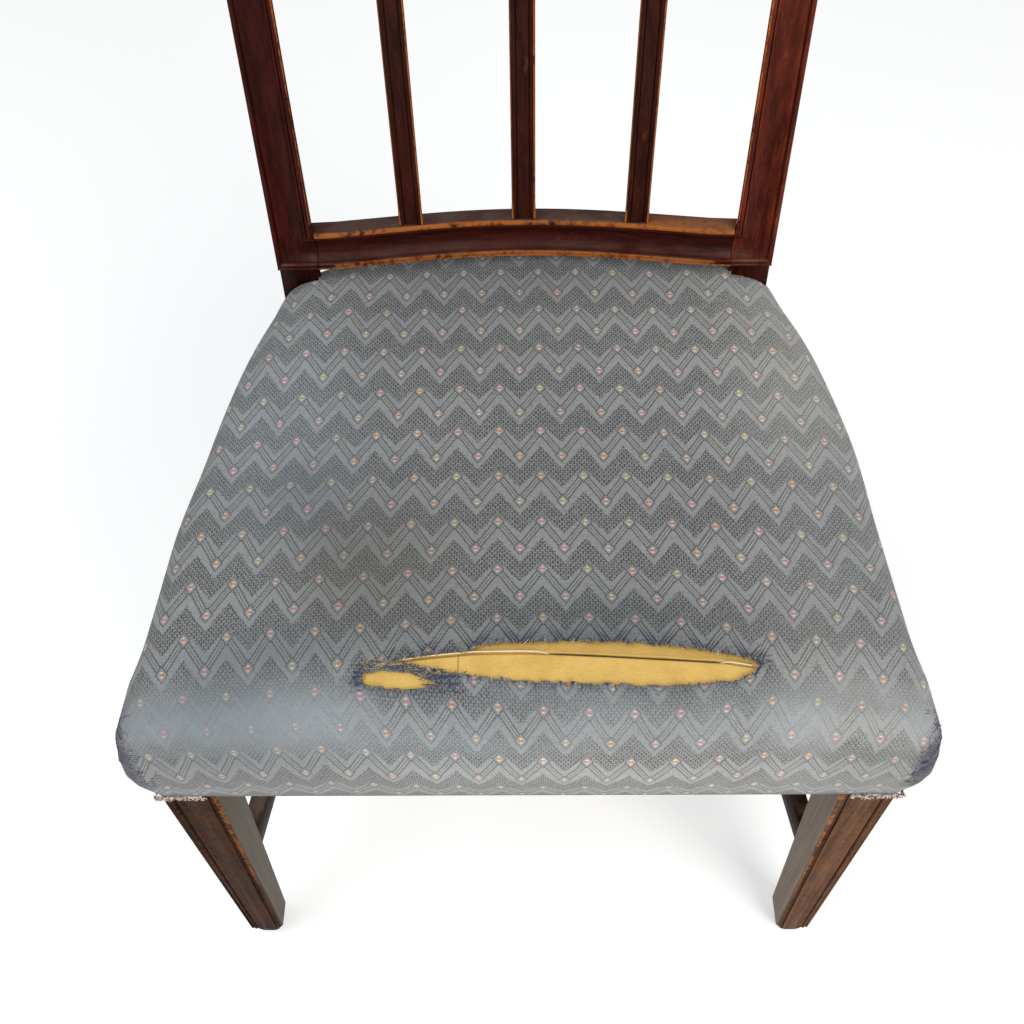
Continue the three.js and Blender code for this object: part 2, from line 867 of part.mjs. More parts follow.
// Screws of all four blocks: where each enters its rail, which way it runs and what it holds
function blockScrewPlaces() {
  const places = [];
  for (const [sideName, side] of sideNames) {
    for (const [endName, isFront] of [["front", true], ["rear", false]]) {
      const outline = blockOutline(side, isFront);
      const cornerRail = isFront ? "front_rail" : "back_rail";
      const railY = isFront ? railThickness : backRailFront;
      places.push({
        name: endName + "_block_screw_inner_" + sideName,
        rail: cornerRail,
        seat: new THREE.Vector3(lerp(outline[0][0], outline[1][0], 0.5), railY, blockMiddle),
        into: new THREE.Vector3(0, isFront ? -1 : 1, 0),
      });
      const y = lerp(outline[3][1], outline[4][1], 0.55);
      places.push({
        name: endName + "_block_screw_outer_" + sideName,
        rail: "side_rail",
        seat: new THREE.Vector3(side * sideInnerAt(y), y, blockMiddle),
        into: new THREE.Vector3(side * Math.cos(sideTurn), Math.sin(sideTurn), 0),
      });
    }
  }
  return places;
}

const sideNames = [["left", -1], ["right", 1]];

// The pilot hole in a rail is as long as the screw's end in it
function blockScrewHoles(rail) {
  const depth = screwLength - screwWood + fit;
  return blockScrewPlaces()
    .filter((screw) => screw.rail === rail)
    .map(({ seat, into }) =>
      rod(
        seat.clone().addScaledVector(into, -overrun),
        seat.clone().addScaledVector(into, depth),
        screwShankRadius + fit,
      ),
    );
}

function cornerBlock(side, isFront) {
  const body = prism(blockOutline(side, isFront), blockBottom, blockTop);
  const holes = blockScrewPlaces().flatMap(({ seat, into }) => [
    rod(
      seat.clone().addScaledVector(into, -screwWood - overrun),
      seat.clone().addScaledVector(into, overrun),
      screwShankRadius + fit,
    ),
    rod(
      seat.clone().addScaledVector(into, -screwWood - blockArm),
      seat.clone().addScaledVector(into, -screwWood),
      counterboreRadius,
    ),
  ]);
  return cut(body, ...holes);
}

function blockScrewMesh({ name, seat, into }) {
  const head = screwLength + screwHeadHeight;
  const profile = [
    [0, 0],
    [screwShankRadius, screwTipHeight],
    [screwShankRadius, screwLength],
    [screwHeadRadius, screwLength + screwHeadHeight / 3],
    [screwHeadRadius, head],
    [0, head],
  ].map(([r, y]) => new THREE.Vector2(r, y));
  const mesh = new THREE.Mesh(new THREE.LatheGeometry(profile, screwSegments), steelFinish);
  mesh.name = name;
  const headSide = into.clone().negate();
  mesh.quaternion.setFromUnitVectors(new THREE.Vector3(0, 1, 0), headSide);
  mesh.position.copy(seat).addScaledVector(into, screwLength - screwWood - fit);
  return mesh;
}

// Stretchers

const stretcherBottom = stretcherTop - stretcherHeight;
const stretcherMiddle = (stretcherTop + stretcherBottom) / 2;
const stretcherFrontY = frontLegWidthAt(stretcherMiddle);
const stretcherRearY = lowerPostFront(stretcherMiddle);
const stretcherFrontX = frontHalf - frontLegWidthAt(stretcherMiddle) / 2 + stretcherLegOffset;
const stretcherRearX = rearHalf - lowerPostWidthAt(stretcherMiddle) / 2 + stretcherLegOffset;
const stretcherSlope = (stretcherFrontX - stretcherRearX) / (stretcherRearY - stretcherFrontY);

function stretcherCentreAt(y) {
  return stretcherFrontX - stretcherSlope * (y - stretcherFrontY);
}

// A length of side stretcher between two places, as thick and high as given
function stretcherBar(side, y0, y1, thickness, low, high) {
  const half = (thickness / 2) * Math.hypot(1, stretcherSlope);
  const corner = (y, shift) => [side * (stretcherCentreAt(y) + shift), y];
  return prism(
    [corner(y0, -half), corner(y1, -half), corner(y1, half), corner(y0, half)],
    low,
    high,
  );
}

function sideStretcherTenon(side, isFront, grow) {
  const inside = stretcherTenonLength + grow;
  const outside = stretcherTenonLength;
  const [y0, y1] = isFront
    ? [stretcherFrontY - inside, stretcherFrontY + outside]
    : [stretcherRearY - outside, stretcherRearY + inside];
  return stretcherBar(
    side,
    y0,
    y1,
    stretcherTenonThickness + 2 * grow,
    stretcherBottom + stretcherTenonShoulder - grow,
    stretcherTop - stretcherTenonShoulder + grow,
  );
}

// The ends are cut to the slope of the leg and the curve of the post
function sideStretcher(side) {
  const thickness = stretcherThickness;
  const body = stretcherBar(
    side,
    stretcherFrontY - overrun,
    stretcherRearY + overrun,
    thickness,
    stretcherBottom,
    stretcherTop,
  );
  const legTool = loft(
    [stretcherBottom - overrun, stretcherTop + overrun].map((z) => {
      const rear = frontLegWidthAt(z) + fit;
      return [
        new THREE.Vector3(0, -overrun, z),
        new THREE.Vector3(side * frontWidth, -overrun, z),
        new THREE.Vector3(side * frontWidth, rear, z),
        new THREE.Vector3(0, rear, z),
      ];
    }),
  );
  const stepHeight = seatRailBottom / lowerLegSteps;
  const postTool = loft(
    Array.from({ length: lowerLegSteps }, (_, step) => step * stepHeight).map((z) => {
      const front = lowerPostFront(z) - fit;
      return [
        new THREE.Vector3(0, front, z),
        new THREE.Vector3(side * frontWidth, front, z),
        new THREE.Vector3(side * frontWidth, chairHeight, z),
        new THREE.Vector3(0, chairHeight, z),
      ];
    }),
  );
  return cut(
    join(
      cut(body, legTool, postTool),
      sideStretcherTenon(side, true, 0),
      sideStretcherTenon(side, false, 0),
    ),
    crossStretcherTenon(side, fit),
  );
}

function crossStretcherEnd(y) {
  return stretcherCentreAt(y) - (stretcherThickness / 2) * Math.hypot(1, stretcherSlope);
}

function crossStretcherTenon(side, grow) {
  const end = crossStretcherEnd(crossStretcherPlace);
  const half = stretcherTenonThickness / 2 + grow;
  return block(
    side * (end - stretcherTenonLength),
    side * (end + crossTenonLength + grow),
    crossStretcherPlace - half,
    crossStretcherPlace + half,
    stretcherBottom + stretcherTenonShoulder - grow,
    stretcherTop - stretcherTenonShoulder + grow,
  );
}

function crossStretcher() {
  const half = stretcherThickness / 2;
  const front = crossStretcherPlace - half;
  const rear = crossStretcherPlace + half;
  const frontEnd = crossStretcherEnd(front) - fit;
  const rearEnd = crossStretcherEnd(rear) - fit;
  const body = prism(
    [[-frontEnd, front], [frontEnd, front], [rearEnd, rear], [-rearEnd, rear]],
    stretcherBottom,
    stretcherTop,
  );
  return join(body, ...[-1, 1].map((side) => crossStretcherTenon(side, 0)));
}

const rearStretcherBottom = rearStretcherTop - stretcherHeight;
const rearStretcherMiddle = (rearStretcherTop + rearStretcherBottom) / 2;
const rearStretcherY = lowerPostFront(rearStretcherMiddle) + lowerPostDepthAt(rearStretcherMiddle) / 2;

function rearStretcherEndAt(z) {
  return rearHalf - lowerPostWidthAt(z);
}

function rearStretcherTenon(side, grow) {
  const end = rearStretcherEndAt(rearStretcherMiddle);
  const half = stretcherTenonThickness / 2 + grow;
  return block(
    side * (end - stretcherTenonLength),
    side * (end + stretcherTenonLength + grow),
    rearStretcherY - half,
    rearStretcherY + half,
    rearStretcherBottom + stretcherTenonShoulder - grow,
    rearStretcherTop - stretcherTenonShoulder + grow,
  );
}

function backStretcher() {
  const half = stretcherThickness / 2;
  const body = loft(
    [rearStretcherBottom, rearStretcherTop].map((z) => {
      const end = rearStretcherEndAt(rearStretcherTop) - fit;
      return [
        new THREE.Vector3(-end, rearStretcherY - half, z),
        new THREE.Vector3(end, rearStretcherY - half, z),
        new THREE.Vector3(end, rearStretcherY + half, z),
        new THREE.Vector3(-end, rearStretcherY + half, z),
      ];
    }),
  );
  return join(body, ...[-1, 1].map((side) => rearStretcherTenon(side, 0)));
}

// Webbing: straps laid over and under each other, with their ends on the rails

const lastStrapPlace = postInner - strapPostGap - strapWidth / 2;
const longStrapPlaces = Array.from({ length: longStraps }, (_, i) =>
  lerp(-lastStrapPlace, lastStrapPlace, i / (longStraps - 1)),
);
const crossStrapPlaces = Array.from({ length: crossStraps }, (_, i) =>
  lerp(railThickness, backRailFront, (i + 1) / (crossStraps + 1)),
);

// A strap's course seen from its side: level on each rail, and over or under at each crossing
function strapCourse(start, end, crossings, firstOver) {
  const course = [[start, strapRest]];
  crossings.forEach((place, i) => {
    const over = (i % 2 === 0) === firstOver;
    const height = strapRest + (over ? strapLift : -strapLift);
    course.push([place - strapWidth / 2, height], [place + strapWidth / 2, height]);
  });
  course.push([end, strapRest]);
  return course;
}

function strap(course, toPoint) {
  const half = strapThickness / 2;
  const sections = course.map(([along, height]) => [
    toPoint(along, -strapWidth / 2, height - half),
    toPoint(along, strapWidth / 2, height - half),
    toPoint(along, strapWidth / 2, height + half),
    toPoint(along, -strapWidth / 2, height + half),
  ]);
  return loft(sections);
}

function longStrap(i) {
  const rear = backRailFront + railThickness - strapEndInset;
  const course = strapCourse(strapEndInset, rear, crossStrapPlaces, i % 2 === 0);
  // the straps keep level over the rails' full width
  course.splice(1, 0, [railThickness, strapRest]);
  course.splice(-1, 0, [backRailFront, strapRest]);
  return strap(course, (y, across, z) => new THREE.Vector3(longStrapPlaces[i] + across, y, z));
}

function crossStrap(i) {
  const y = crossStrapPlaces[i];
  const end = sideOuterAt(y + strapWidth / 2) - strapEndInset;
  const rest = sideInnerAt(y + strapWidth / 2);
  const course = strapCourse(-end, end, longStrapPlaces, i % 2 !== 0);
  course.splice(1, 0, [-rest, strapRest]);
  course.splice(-1, 0, [rest, strapRest]);
  return strap(course, (x, across, z) => new THREE.Vector3(x, y + across, z));
}

// Room for a post in the upholstery, following the post's recessed front
function postNotch(side, clearance) {
  const inner = postInner - clearance;
  const shallow = postRecess - clearance;
  const low = (z) => [
    new THREE.Vector3(side * inner, seatPostFront - clearance, z),
    new THREE.Vector3(side * frontWidth, seatPostFront - clearance, z),
    new THREE.Vector3(side * frontWidth, chairHeight, z),
    new THREE.Vector3(side * inner, chairHeight, z),
  ];
  const high = (v) => [
    facePoint(side * inner, v, shallow),
    facePoint(side * frontWidth, v, shallow),
    facePoint(side * frontWidth, v, chairHeight),
    facePoint(side * inner, v, chairHeight),
  ];
  return loft([low(0), low(seatRailTop), high(stopLip), high(stopFace + lowerRailFace)]);
}

function hessian() {
  const rear = backRailFront + railThickness - hessianInset;
  const right = [hessianInset, legWidth, rear].map((y) => [frameSideAt(y) - hessianInset, y]);
  const left = right.map(([x, y]) => [-x, y]).reverse();
  const body = prism([...right, ...left], hessianBottom, hessianBottom + hessianThickness);
  return cut(body, postNotch(-1, softFit), postNotch(1, softFit));
}

// Upholstery

// Plan outline of the seat: straight runs with round corners, pushed out by the stuffing's overhang.
// It always has as many points, so that its levels can be joined.
function seatOutline(out, bulge, swell) {
  const front = -out - frontBulge * swell;
  const rear = postRear + out + rearBulge * bulge;
  const frontRadius = lerp(frontCornerRadius, upperFrontCornerRadius, bulge);
  const rearRadius = lerp(lowerRearCornerRadius, rearCornerRadius, bulge);
  const sideAt = (y) => {
    const place = (y - front) / (rear - front);
    const overhang = sideBulge * bulge * smoothAt(sideBulgeShares, place);
    const corner = cornerSwell * swell * (1 - smoothstep(y - front, 0, cornerSwellLength));
    return frameSideAt(y) + out + overhang + corner;
  };
  const points = [];
  const frontCentre = [sideAt(front + frontRadius) - frontRadius, front + frontRadius];
  const rearCentre = [sideAt(rear - rearRadius) - rearRadius, rear - rearRadius];
  for (let step = 0; step < frontSegments; step++)
    points.push([(frontCentre[0] * (2 * step - frontSegments)) / frontSegments, front]);
  for (let step = 0; step < cornerSegments; step++) {
    const turn = (Math.PI / 2) * (step / cornerSegments);
    points.push([
      frontCentre[0] + frontRadius * Math.sin(turn),
      frontCentre[1] - frontRadius * Math.cos(turn),
    ]);
  }
  points.push([sideAt(frontCentre[1]), frontCentre[1]]);
  for (let step = 0; step < sideSegments; step++) {
    const y = lerp(legWidth, rearCentre[1], step / sideSegments);
    points.push([sideAt(y), y]);
  }
  for (let step = 0; step < cornerSegments; step++) {
    const turn = (Math.PI / 2) * (step / cornerSegments);
    points.push([
      rearCentre[0] + rearRadius * Math.cos(turn),
      rearCentre[1] + rearRadius * Math.sin(turn),
    ]);
  }
  const right = points.slice(frontSegments);
  const backRun = [];
  for (let step = 0; step <= rearSegments; step++)
    backRun.push([(rearCentre[0] * (rearSegments - 2 * step)) / rearSegments, rear]);
  const left = right.map(([x, y]) => [-x, y]).reverse();
  return [...points, ...backRun, ...left];
}

// Height of the seat's top: crowned across, raised at the front and dished behind it
function crownAt(x, y, drop) {
  const across = x / frontHalf;
  const along = y / postRear;
  const front = crownFrontRise * Math.max(1 - 2 * along, 0) ** 1.5;
  const dish = crownDish * Math.sin(Math.PI * Math.min(Math.max(along, 0), 1));
  const corner = smoothstep(Math.abs(across), 0.4, 0.66);
  const rearRise = rearCornerRise * corner * smoothstep(along, 0.6, 0.85);
  return crownHeight + front - dish - crownSideDrop * across * across + rearRise - drop;
}

// How far the rolled edge reaches in from a rim point: less under the back rail, between the posts
function rollReachAt([x, y]) {
  const rearward = (y - postRear / 2) / Math.hypot(x, y - postRear / 2);
  return lerp(rollReach, rearRollReach, smoothstep(rearward, ...rearRollShares));
}

// Levels of the stuffed seat from a bottom height up, drawn in all round by a thickness
function seatLevels(inset, bottom) {
  const out = coverOut - inset;
  const widest = seatWidestHeight;
  const middle = [0, postRear / 2];
  const ringAt = (shares, z) => seatOutline(out, ...shares).map(([x, y]) => [x, y, z]);
  const wall = seatWallShares.map(([rise, ...shares]) => ({
    shares,
    z: lerp(coverBottom, widest, rise),
  }));
  const above = wall.findIndex(({ z }) => z > bottom);
  const [low, high] = [wall[Math.max(above - 1, 0)], wall[above]];
  const place = Math.max((bottom - low.z) / (high.z - low.z || 1), 0);
  const lowest = low.shares.map((share, i) => lerp(share, high.shares[i], place));
  const levels = [ringAt(lowest, bottom)];
  for (const { shares, z } of wall.slice(above)) levels.push(ringAt(shares, z));
  const rim = levels.at(-1);
  const shrink = ([x, y], reach) => {
    const share = 1 - reach / Math.hypot(x - middle[0], y - middle[1]);
    return [lerp(middle[0], x, share), lerp(middle[1], y, share)];
  };
  const reaches = rim.map((point) => rollReachAt(point) - inset);
  const edge = rim.map((point, i) => shrink(point, reaches[i]));
  for (const share of rollTurnShares) {
    const turn = (Math.PI / 2) * share;
    levels.push(
      rim.map((point, i) => {
        const [x, y] = shrink(point, reaches[i] * (1 - Math.cos(turn)));
        const top = crownAt(edge[i][0], edge[i][1], inset);
        return [x, y, lerp(widest, top, Math.sin(turn))];
      }),
    );
  }
  for (const share of seatTopShares) {
    levels.push(
      edge.map(([edgeX, edgeY]) => {
        const x = lerp(middle[0], edgeX, share);
        const y = lerp(middle[1], edgeY, share);
        return [x, y, crownAt(x, y, inset)];
      }),
    );
  }
  const ends = [[...middle, bottom], [...middle, crownAt(...middle, inset)]];
  const toPoint = ([x, y, z]) => new THREE.Vector3(x, y, z);
  return { levels: levels.map((level) => level.map(toPoint)), ends: ends.map(toPoint) };
}

// Joins the seat's levels, with a fan round the middle at its bottom and at its top
function seatSolid(inset, bottom) {
  const { levels, ends } = seatLevels(inset, bottom);
  const count = levels[0].length;
  const points = [...levels.flat(), ...ends];
  const [lowEnd, highEnd] = [points.length - 2, points.length - 1];
  const top = (levels.length - 1) * count;
  const triangles = [];
  for (let i = 0; i < count; i++) {
    const j = (i + 1) % count;
    for (let here = 0; here < top; here += count) {
      const next = here + count;
      triangles.push([here + i, here + j, next + j], [here + i, next + j, next + i]);
    }
    triangles.push([lowEnd, j, i], [highEnd, top + i, top + j]);
  }
  return solidFromTriangles(points, triangles);
}

function seatPad() {
  const body = seatSolid(coverThickness + softFit, padBottom);
  return cut(body, postNotch(-1, softFit), postNotch(1, softFit));
}

// Upright tool for a tear, from its centre, length and width
function tearTool(centreX, centreY, length, width) {
  const outline = tearShares.map(([along, across]) => [
    centreX + along * length,
    centreY + across * width,
  ]);
  return prism(outline, padBottom, crownHeight + rollReach);
}

function seatCover() {
  const outer = seatSolid(0, coverBottom);
  const hollow = seatSolid(coverThickness, coverBottom - overrun);
  return cut(
    outer,
    hollow,
    postNotch(-1, softFit),
    postNotch(1, softFit),
    tearTool(tearCentreX, tearCentreY, tearLength, tearWidth),
    tearTool(smallTearCentreX, smallTearCentreY, smallTearLength, smallTearWidth),
  );
}

// The whole chair

const chair = new THREE.Group();
const addPiece = (name, solid, material) => chair.add(meshOf(name, solid, material));

for (const [name, side] of sideNames) {
  addPiece("front_leg_" + name, frontLeg(side), mahogany);
  addPiece("rear_post_" + name, rearPost(side), mahogany);
  addPiece("side_stretcher_" + name, sideStretcher(side), mahogany);
  addPiece("side_seat_rail_" + name, sideSeatRail(side), beech);
  addPiece("front_corner_block_" + name, cornerBlock(side, true), beech);
  addPiece("rear_corner_block_" + name, cornerBlock(side, false), beech);
}
addPiece("lower_back_rail", lowerBackRail(), mahogany);
addPiece("crest_rail", crestRail(), mahogany);
for (const placed of barPlaces) addPiece(placed.name, bar(placed), mahogany);
addPiece("cross_stretcher", crossStretcher(), mahogany);
addPiece("back_stretcher", backStretcher(), mahogany);
addPiece("front_seat_rail", frontSeatRail(), beech);
addPiece("back_seat_rail", backSeatRail(), beech);
for (const screw of blockScrewPlaces()) chair.add(blockScrewMesh(screw));
for (let i = 0; i < longStraps; i++) addPiece("webbing_long_" + (i + 1), longStrap(i), webbingFinish);
for (let i = 0; i < crossStraps; i++)
  addPiece("webbing_cross_" + (i + 1), crossStrap(i), webbingFinish);
addPiece("hessian_base", hessian(), hessianFinish);
addPiece("seat_pad", seatPad(), foamFinish);
addPiece("seat_cover", seatCover(), fabricFinish);

// The origin is on the floor, under the middle of the chair's box
const box = new THREE.Box3().setFromObject(chair);
const centre = box.getCenter(new THREE.Vector3());
const part = new THREE.Group();
chair.position.set(-centre.x, -centre.y, -box.min.z);
part.add(chair);

export default part;
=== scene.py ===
"""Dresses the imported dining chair: worn mahogany, a torn woven seat cover and its foam."""

import logging
import math
import random
from collections.abc import Callable
from dataclasses import dataclass, field
from enum import Enum
from functools import cached_property

import bmesh
import bpy
from mathutils import Matrix, Vector, noise
from mathutils.bvhtree import BVHTree


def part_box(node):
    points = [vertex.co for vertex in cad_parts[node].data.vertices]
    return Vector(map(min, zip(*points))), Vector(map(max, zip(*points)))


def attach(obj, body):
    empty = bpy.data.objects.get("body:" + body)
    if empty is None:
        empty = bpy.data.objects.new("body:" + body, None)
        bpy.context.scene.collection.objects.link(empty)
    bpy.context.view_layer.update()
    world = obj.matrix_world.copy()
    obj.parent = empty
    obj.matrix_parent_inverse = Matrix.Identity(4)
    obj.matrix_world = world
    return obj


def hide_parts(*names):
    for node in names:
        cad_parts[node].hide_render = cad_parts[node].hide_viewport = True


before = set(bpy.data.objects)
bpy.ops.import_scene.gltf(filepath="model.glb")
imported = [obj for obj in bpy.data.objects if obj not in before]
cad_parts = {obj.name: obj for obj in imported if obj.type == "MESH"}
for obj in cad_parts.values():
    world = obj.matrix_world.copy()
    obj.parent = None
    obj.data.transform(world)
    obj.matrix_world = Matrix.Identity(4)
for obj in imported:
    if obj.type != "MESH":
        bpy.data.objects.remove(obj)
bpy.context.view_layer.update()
LEG_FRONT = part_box("front_leg_left")[0].y

LOG = logging.getLogger("chair")
MM = 0.001
FLOAT, VECTOR = "NodeSocketFloat", "NodeSocketVector"

Socket = bpy.types.NodeSocket
Node = bpy.types.Node
Piece = bpy.types.Object
Shape = bmesh.types.BMesh
Colour = tuple[float, float, float, float]
Pair = tuple[float, float]
Line = tuple[Pair, ...]


class Slot(Enum):
    """Material slots of the record, passed along with the finishes but not read."""

    MAHOGANY = "mahogany"
    BEECH = "beech"
    WEBBING = "webbing"
    HESSIAN = "hessian"
    FOAM = "foam"
    FABRIC = "fabric"
    STEEL = "steel"


class Run(Enum):
    """Axis that a timber's grain runs along."""

    ACROSS = 0
    DEEP = 1
    UP = 2


def rgb(red: float, green: float, blue: float) -> Colour:
    """Turns a colour of 0 to 255 into linear light.

    Args:
        red: Red as displayed.
        green: Green as displayed.
        blue: Blue as displayed.

    Returns:
        The linear colour with full alpha.
    """
    shown = [value / 255 for value in (red, green, blue)]
    linear = [v / 12.92 if v <= 0.04045 else ((v + 0.055) / 1.055) ** 2.4 for v in shown]
    return (*linear, 1.0)


def lerp(low: float, high: float, share: float) -> float:
    """Returns the value a share of the way from low to high."""
    return low + (high - low) * share


def smooth(value: float, low: float, high: float) -> float:
    """Returns a soft step from 0 at low to 1 at high."""
    share = min(max((value - low) / (high - low), 0.0), 1.0)
    return share * share * (3 - 2 * share)


def spline(shares: list[float], place: float) -> float:
    """Reads a smooth curve through evenly spaced values.

    Args:
        shares: The values at even steps from place 0 to 1.
        place: Where to read the curve.

    Returns:
        The curve's value there.
    """
    last = len(shares) - 1
    along = min(max(place, 0.0), 1.0) * last
    here = min(int(along), last - 1)
    part = along - here
    before = shares[max(here - 1, 0)]
    start, end = shares[here], shares[here + 1]
    after = shares[min(here + 2, last)]
    rise, fall = (end - before) / 2, (after - start) / 2
    return (
        (2 * start - 2 * end + rise + fall) * part**3
        + (-3 * start + 3 * end - 2 * rise - fall) * part**2
        + rise * part
        + start
    )


def polyline(line: Line, place: float) -> float:
    """Returns the value of a line of straight runs at a place, held level beyond its ends."""
    if place <= line[0][0]:
        return line[0][1]
    for (start, low), (end, high) in zip(line, line[1:]):
        if place <= end:
            return lerp(low, high, (place - start) / (end - start))
    return line[-1][1]


class Graph:
    """Adds nodes to one node tree and joins them up."""

    def __init__(self, tree: bpy.types.NodeTree) -> None:
        """Keeps the tree that the nodes go into."""
        self.tree = tree

    def put(self, socket: Socket, value: object) -> None:
        """Feeds a socket from another socket, or sets it to a constant."""
        if isinstance(value, Socket):
            self.tree.links.new(value, socket)
        elif value is not None:
            socket.default_value = value

    def node(self, kind: str, inputs: dict | None = None, **settings: object) -> Node:
        """Adds a node.

        Args:
            kind: The node's type name.
            inputs: Values or sockets by the name or number of the node's input.
            settings: The node's own properties.

        Returns:
            The new node.
        """
        made = self.tree.nodes.new(kind)
        for name, value in settings.items():
            setattr(made, name, value)
        for key, value in (inputs or {}).items():
            self.put(made.inputs[key], value)
        return made

    def attribute(self, name: str) -> Socket:
        """Returns a number that the mesh keeps for each vertex."""
        return self.node("ShaderNodeAttribute", attribute_name=name).outputs["Fac"]

    def place(self) -> Socket:
        """Returns the place in the object's own coordinates."""
        return self.node("ShaderNodeTexCoord").outputs["Object"]

    def cloth(self) -> Socket:
        """Returns the place in the cloth."""
        return self.node("ShaderNodeUVMap", uv_map="cloth").outputs[0]

    def math(self, operation: str, *values: object) -> Socket:
        """Returns the result of a Math node on the given values."""
        return self.node("ShaderNodeMath", dict(enumerate(values)), operation=operation).outputs[0]

    def add(self, a: object, b: object) -> Socket:
        """Returns a + b."""
        return self.math("ADD", a, b)

    def sub(self, a: object, b: object) -> Socket:
        """Returns a - b."""
        return self.math("SUBTRACT", a, b)

    def mul(self, a: object, b: object) -> Socket:
        """Returns a * b."""
        return self.math("MULTIPLY", a, b)

    def step(self, value: object, low: float, high: float) -> Socket:
        """Returns a soft step of the value: 0 at low and 1 at high, whichever is the greater."""
        inputs = {0: value, 1: min(low, high), 2: max(low, high)}
        if low > high:
            inputs |= {3: 1.0, 4: 0.0}
        return self.node("ShaderNodeMapRange", inputs, interpolation_type="SMOOTHSTEP").outputs[0]

    def band(self, value: object, centre: float, half: float, soft: float) -> Socket:
        """Returns 1 where the value lies within half of the centre, with soft sides."""
        away = self.math("ABSOLUTE", self.sub(value, centre))
        return self.step(away, half + soft, half - soft)

    def wrap(self, value: object, half: float) -> Socket:
        """Returns the value brought into the range from -half to half by whole periods."""
        return self.math("WRAP", value, half, -half)

    def mix(self, share: object, a: object, b: object, blend: str = "MIX") -> Socket:
        """Returns colour a mixed with colour b by a share."""
        sockets = {0: share, 6: a, 7: b}
        made = self.node("ShaderNodeMix", sockets, data_type="RGBA", blend_type=blend, clamp_factor=True)
        return made.outputs[2]

    def lay(self, colour: object, tint: object, mask: object, share: float = 1.0) -> Socket:
        """Returns a colour with a share of a tint over it, where the mask is 1."""
        return self.mix(self.mul(mask, share) if share < 1 else mask, colour, tint)

    def blend(self, share: object, a: object, b: object) -> Socket:
        """Returns number a mixed with number b by a share."""
        return self.node("ShaderNodeMix", {0: share, 2: a, 3: b}, data_type="FLOAT").outputs[0]

    def grey(self, value: object) -> Socket:
        """Returns a number as a grey colour."""
        return self.node("ShaderNodeCombineColor", {0: value, 1: value, 2: value}).outputs[0]

    def noise(self, vector: object, scale: float, detail: float = 2.0, rough: float = 0.5) -> Socket:
        """Returns the strength of a noise read at a vector."""
        inputs = {"Vector": vector, "Scale": scale, "Detail": detail, "Roughness": rough}
        return self.node("ShaderNodeTexNoise", inputs).outputs[0]

    def stretch(self, vector: object, scale: tuple[float, float, float]) -> Socket:
        """Returns the vector scaled along each axis."""
        return self.node("ShaderNodeMapping", {"Vector": vector, "Scale": scale}).outputs[0]

    def bump(self, height: object, distance: float, strength: float) -> Socket:
        """Returns the normal of a surface with a height."""
        inputs = {"Height": height, "Distance": distance, "Strength": strength}
        return self.node("ShaderNodeBump", inputs).outputs[0]

    def seen(self) -> Socket:
        """Returns 1 for light that reaches the camera straight, mirrored or through glass."""
        path = self.node("ShaderNodeLightPath").outputs
        seen = self.math("MAXIMUM", path["Is Camera Ray"], path["Is Glossy Ray"])
        return self.math("MAXIMUM", seen, path["Is Transmission Ray"])

    def split(self, vector: object) -> list[Socket]:
        """Returns the three parts of a vector."""
        return list(self.node("ShaderNodeSeparateXYZ", {0: vector}).outputs)

    def join(self, x: object, y: object, z: object = 0.0) -> Socket:
        """Returns a vector made of three numbers."""
        return self.node("ShaderNodeCombineXYZ", {0: x, 1: y, 2: z}).outputs[0]

    def ramp(self, value: object, stops: tuple[tuple[float, Colour], ...]) -> Socket:
        """Returns the colour of a ramp at a value.

        Args:
            value: Where to read the ramp.
            stops: Places with their colours, from low to high.

        Returns:
            The ramp's colour.
        """
        made = self.node("ShaderNodeValToRGB", {0: value})
        elements = made.color_ramp.elements
        while len(elements) < len(stops):
            elements.new(1.0)
        for element, (place, colour) in zip(elements, stops):
            element.position = place
            element.color = colour
        return made.outputs[0]


class SharedGroup:
    """A shader node group that several materials place with their own values."""

    made: dict[str, bpy.types.NodeTree] = {}
    name = "shared"
    takes: dict[str, str] = {}

    def fill(self, graph: Graph, given: dict, gives: dict) -> None:
        """Builds what the group does, from what it is given to what it gives."""
        raise NotImplementedError

    def tree(self) -> bpy.types.NodeTree:
        """Returns the group's node tree, which is built once."""
        if self.name in SharedGroup.made:
            return SharedGroup.made[self.name]
        tree = bpy.data.node_groups.new(self.name, "ShaderNodeTree")
        for name, kind in self.takes.items():
            tree.interface.new_socket(name, in_out="INPUT", socket_type=kind)
        graph = Graph(tree)
        source = graph.node("NodeGroupInput")
        gives: dict[str, Socket] = {}
        self.fill(graph, {name: source.outputs[name] for name in self.takes}, gives)
        for name in gives:
            tree.interface.new_socket(name, in_out="OUTPUT", socket_type=FLOAT)
        graph.node("NodeGroupOutput", gives)
        SharedGroup.made[self.name] = tree
        return tree

    def place(self, graph: Graph, inputs: dict) -> bpy.types.bpy_prop_collection:
        """Places the group in a material, with inputs by name, and returns its outputs."""
        return graph.node("ShaderNodeGroup", inputs, node_tree=self.tree()).outputs


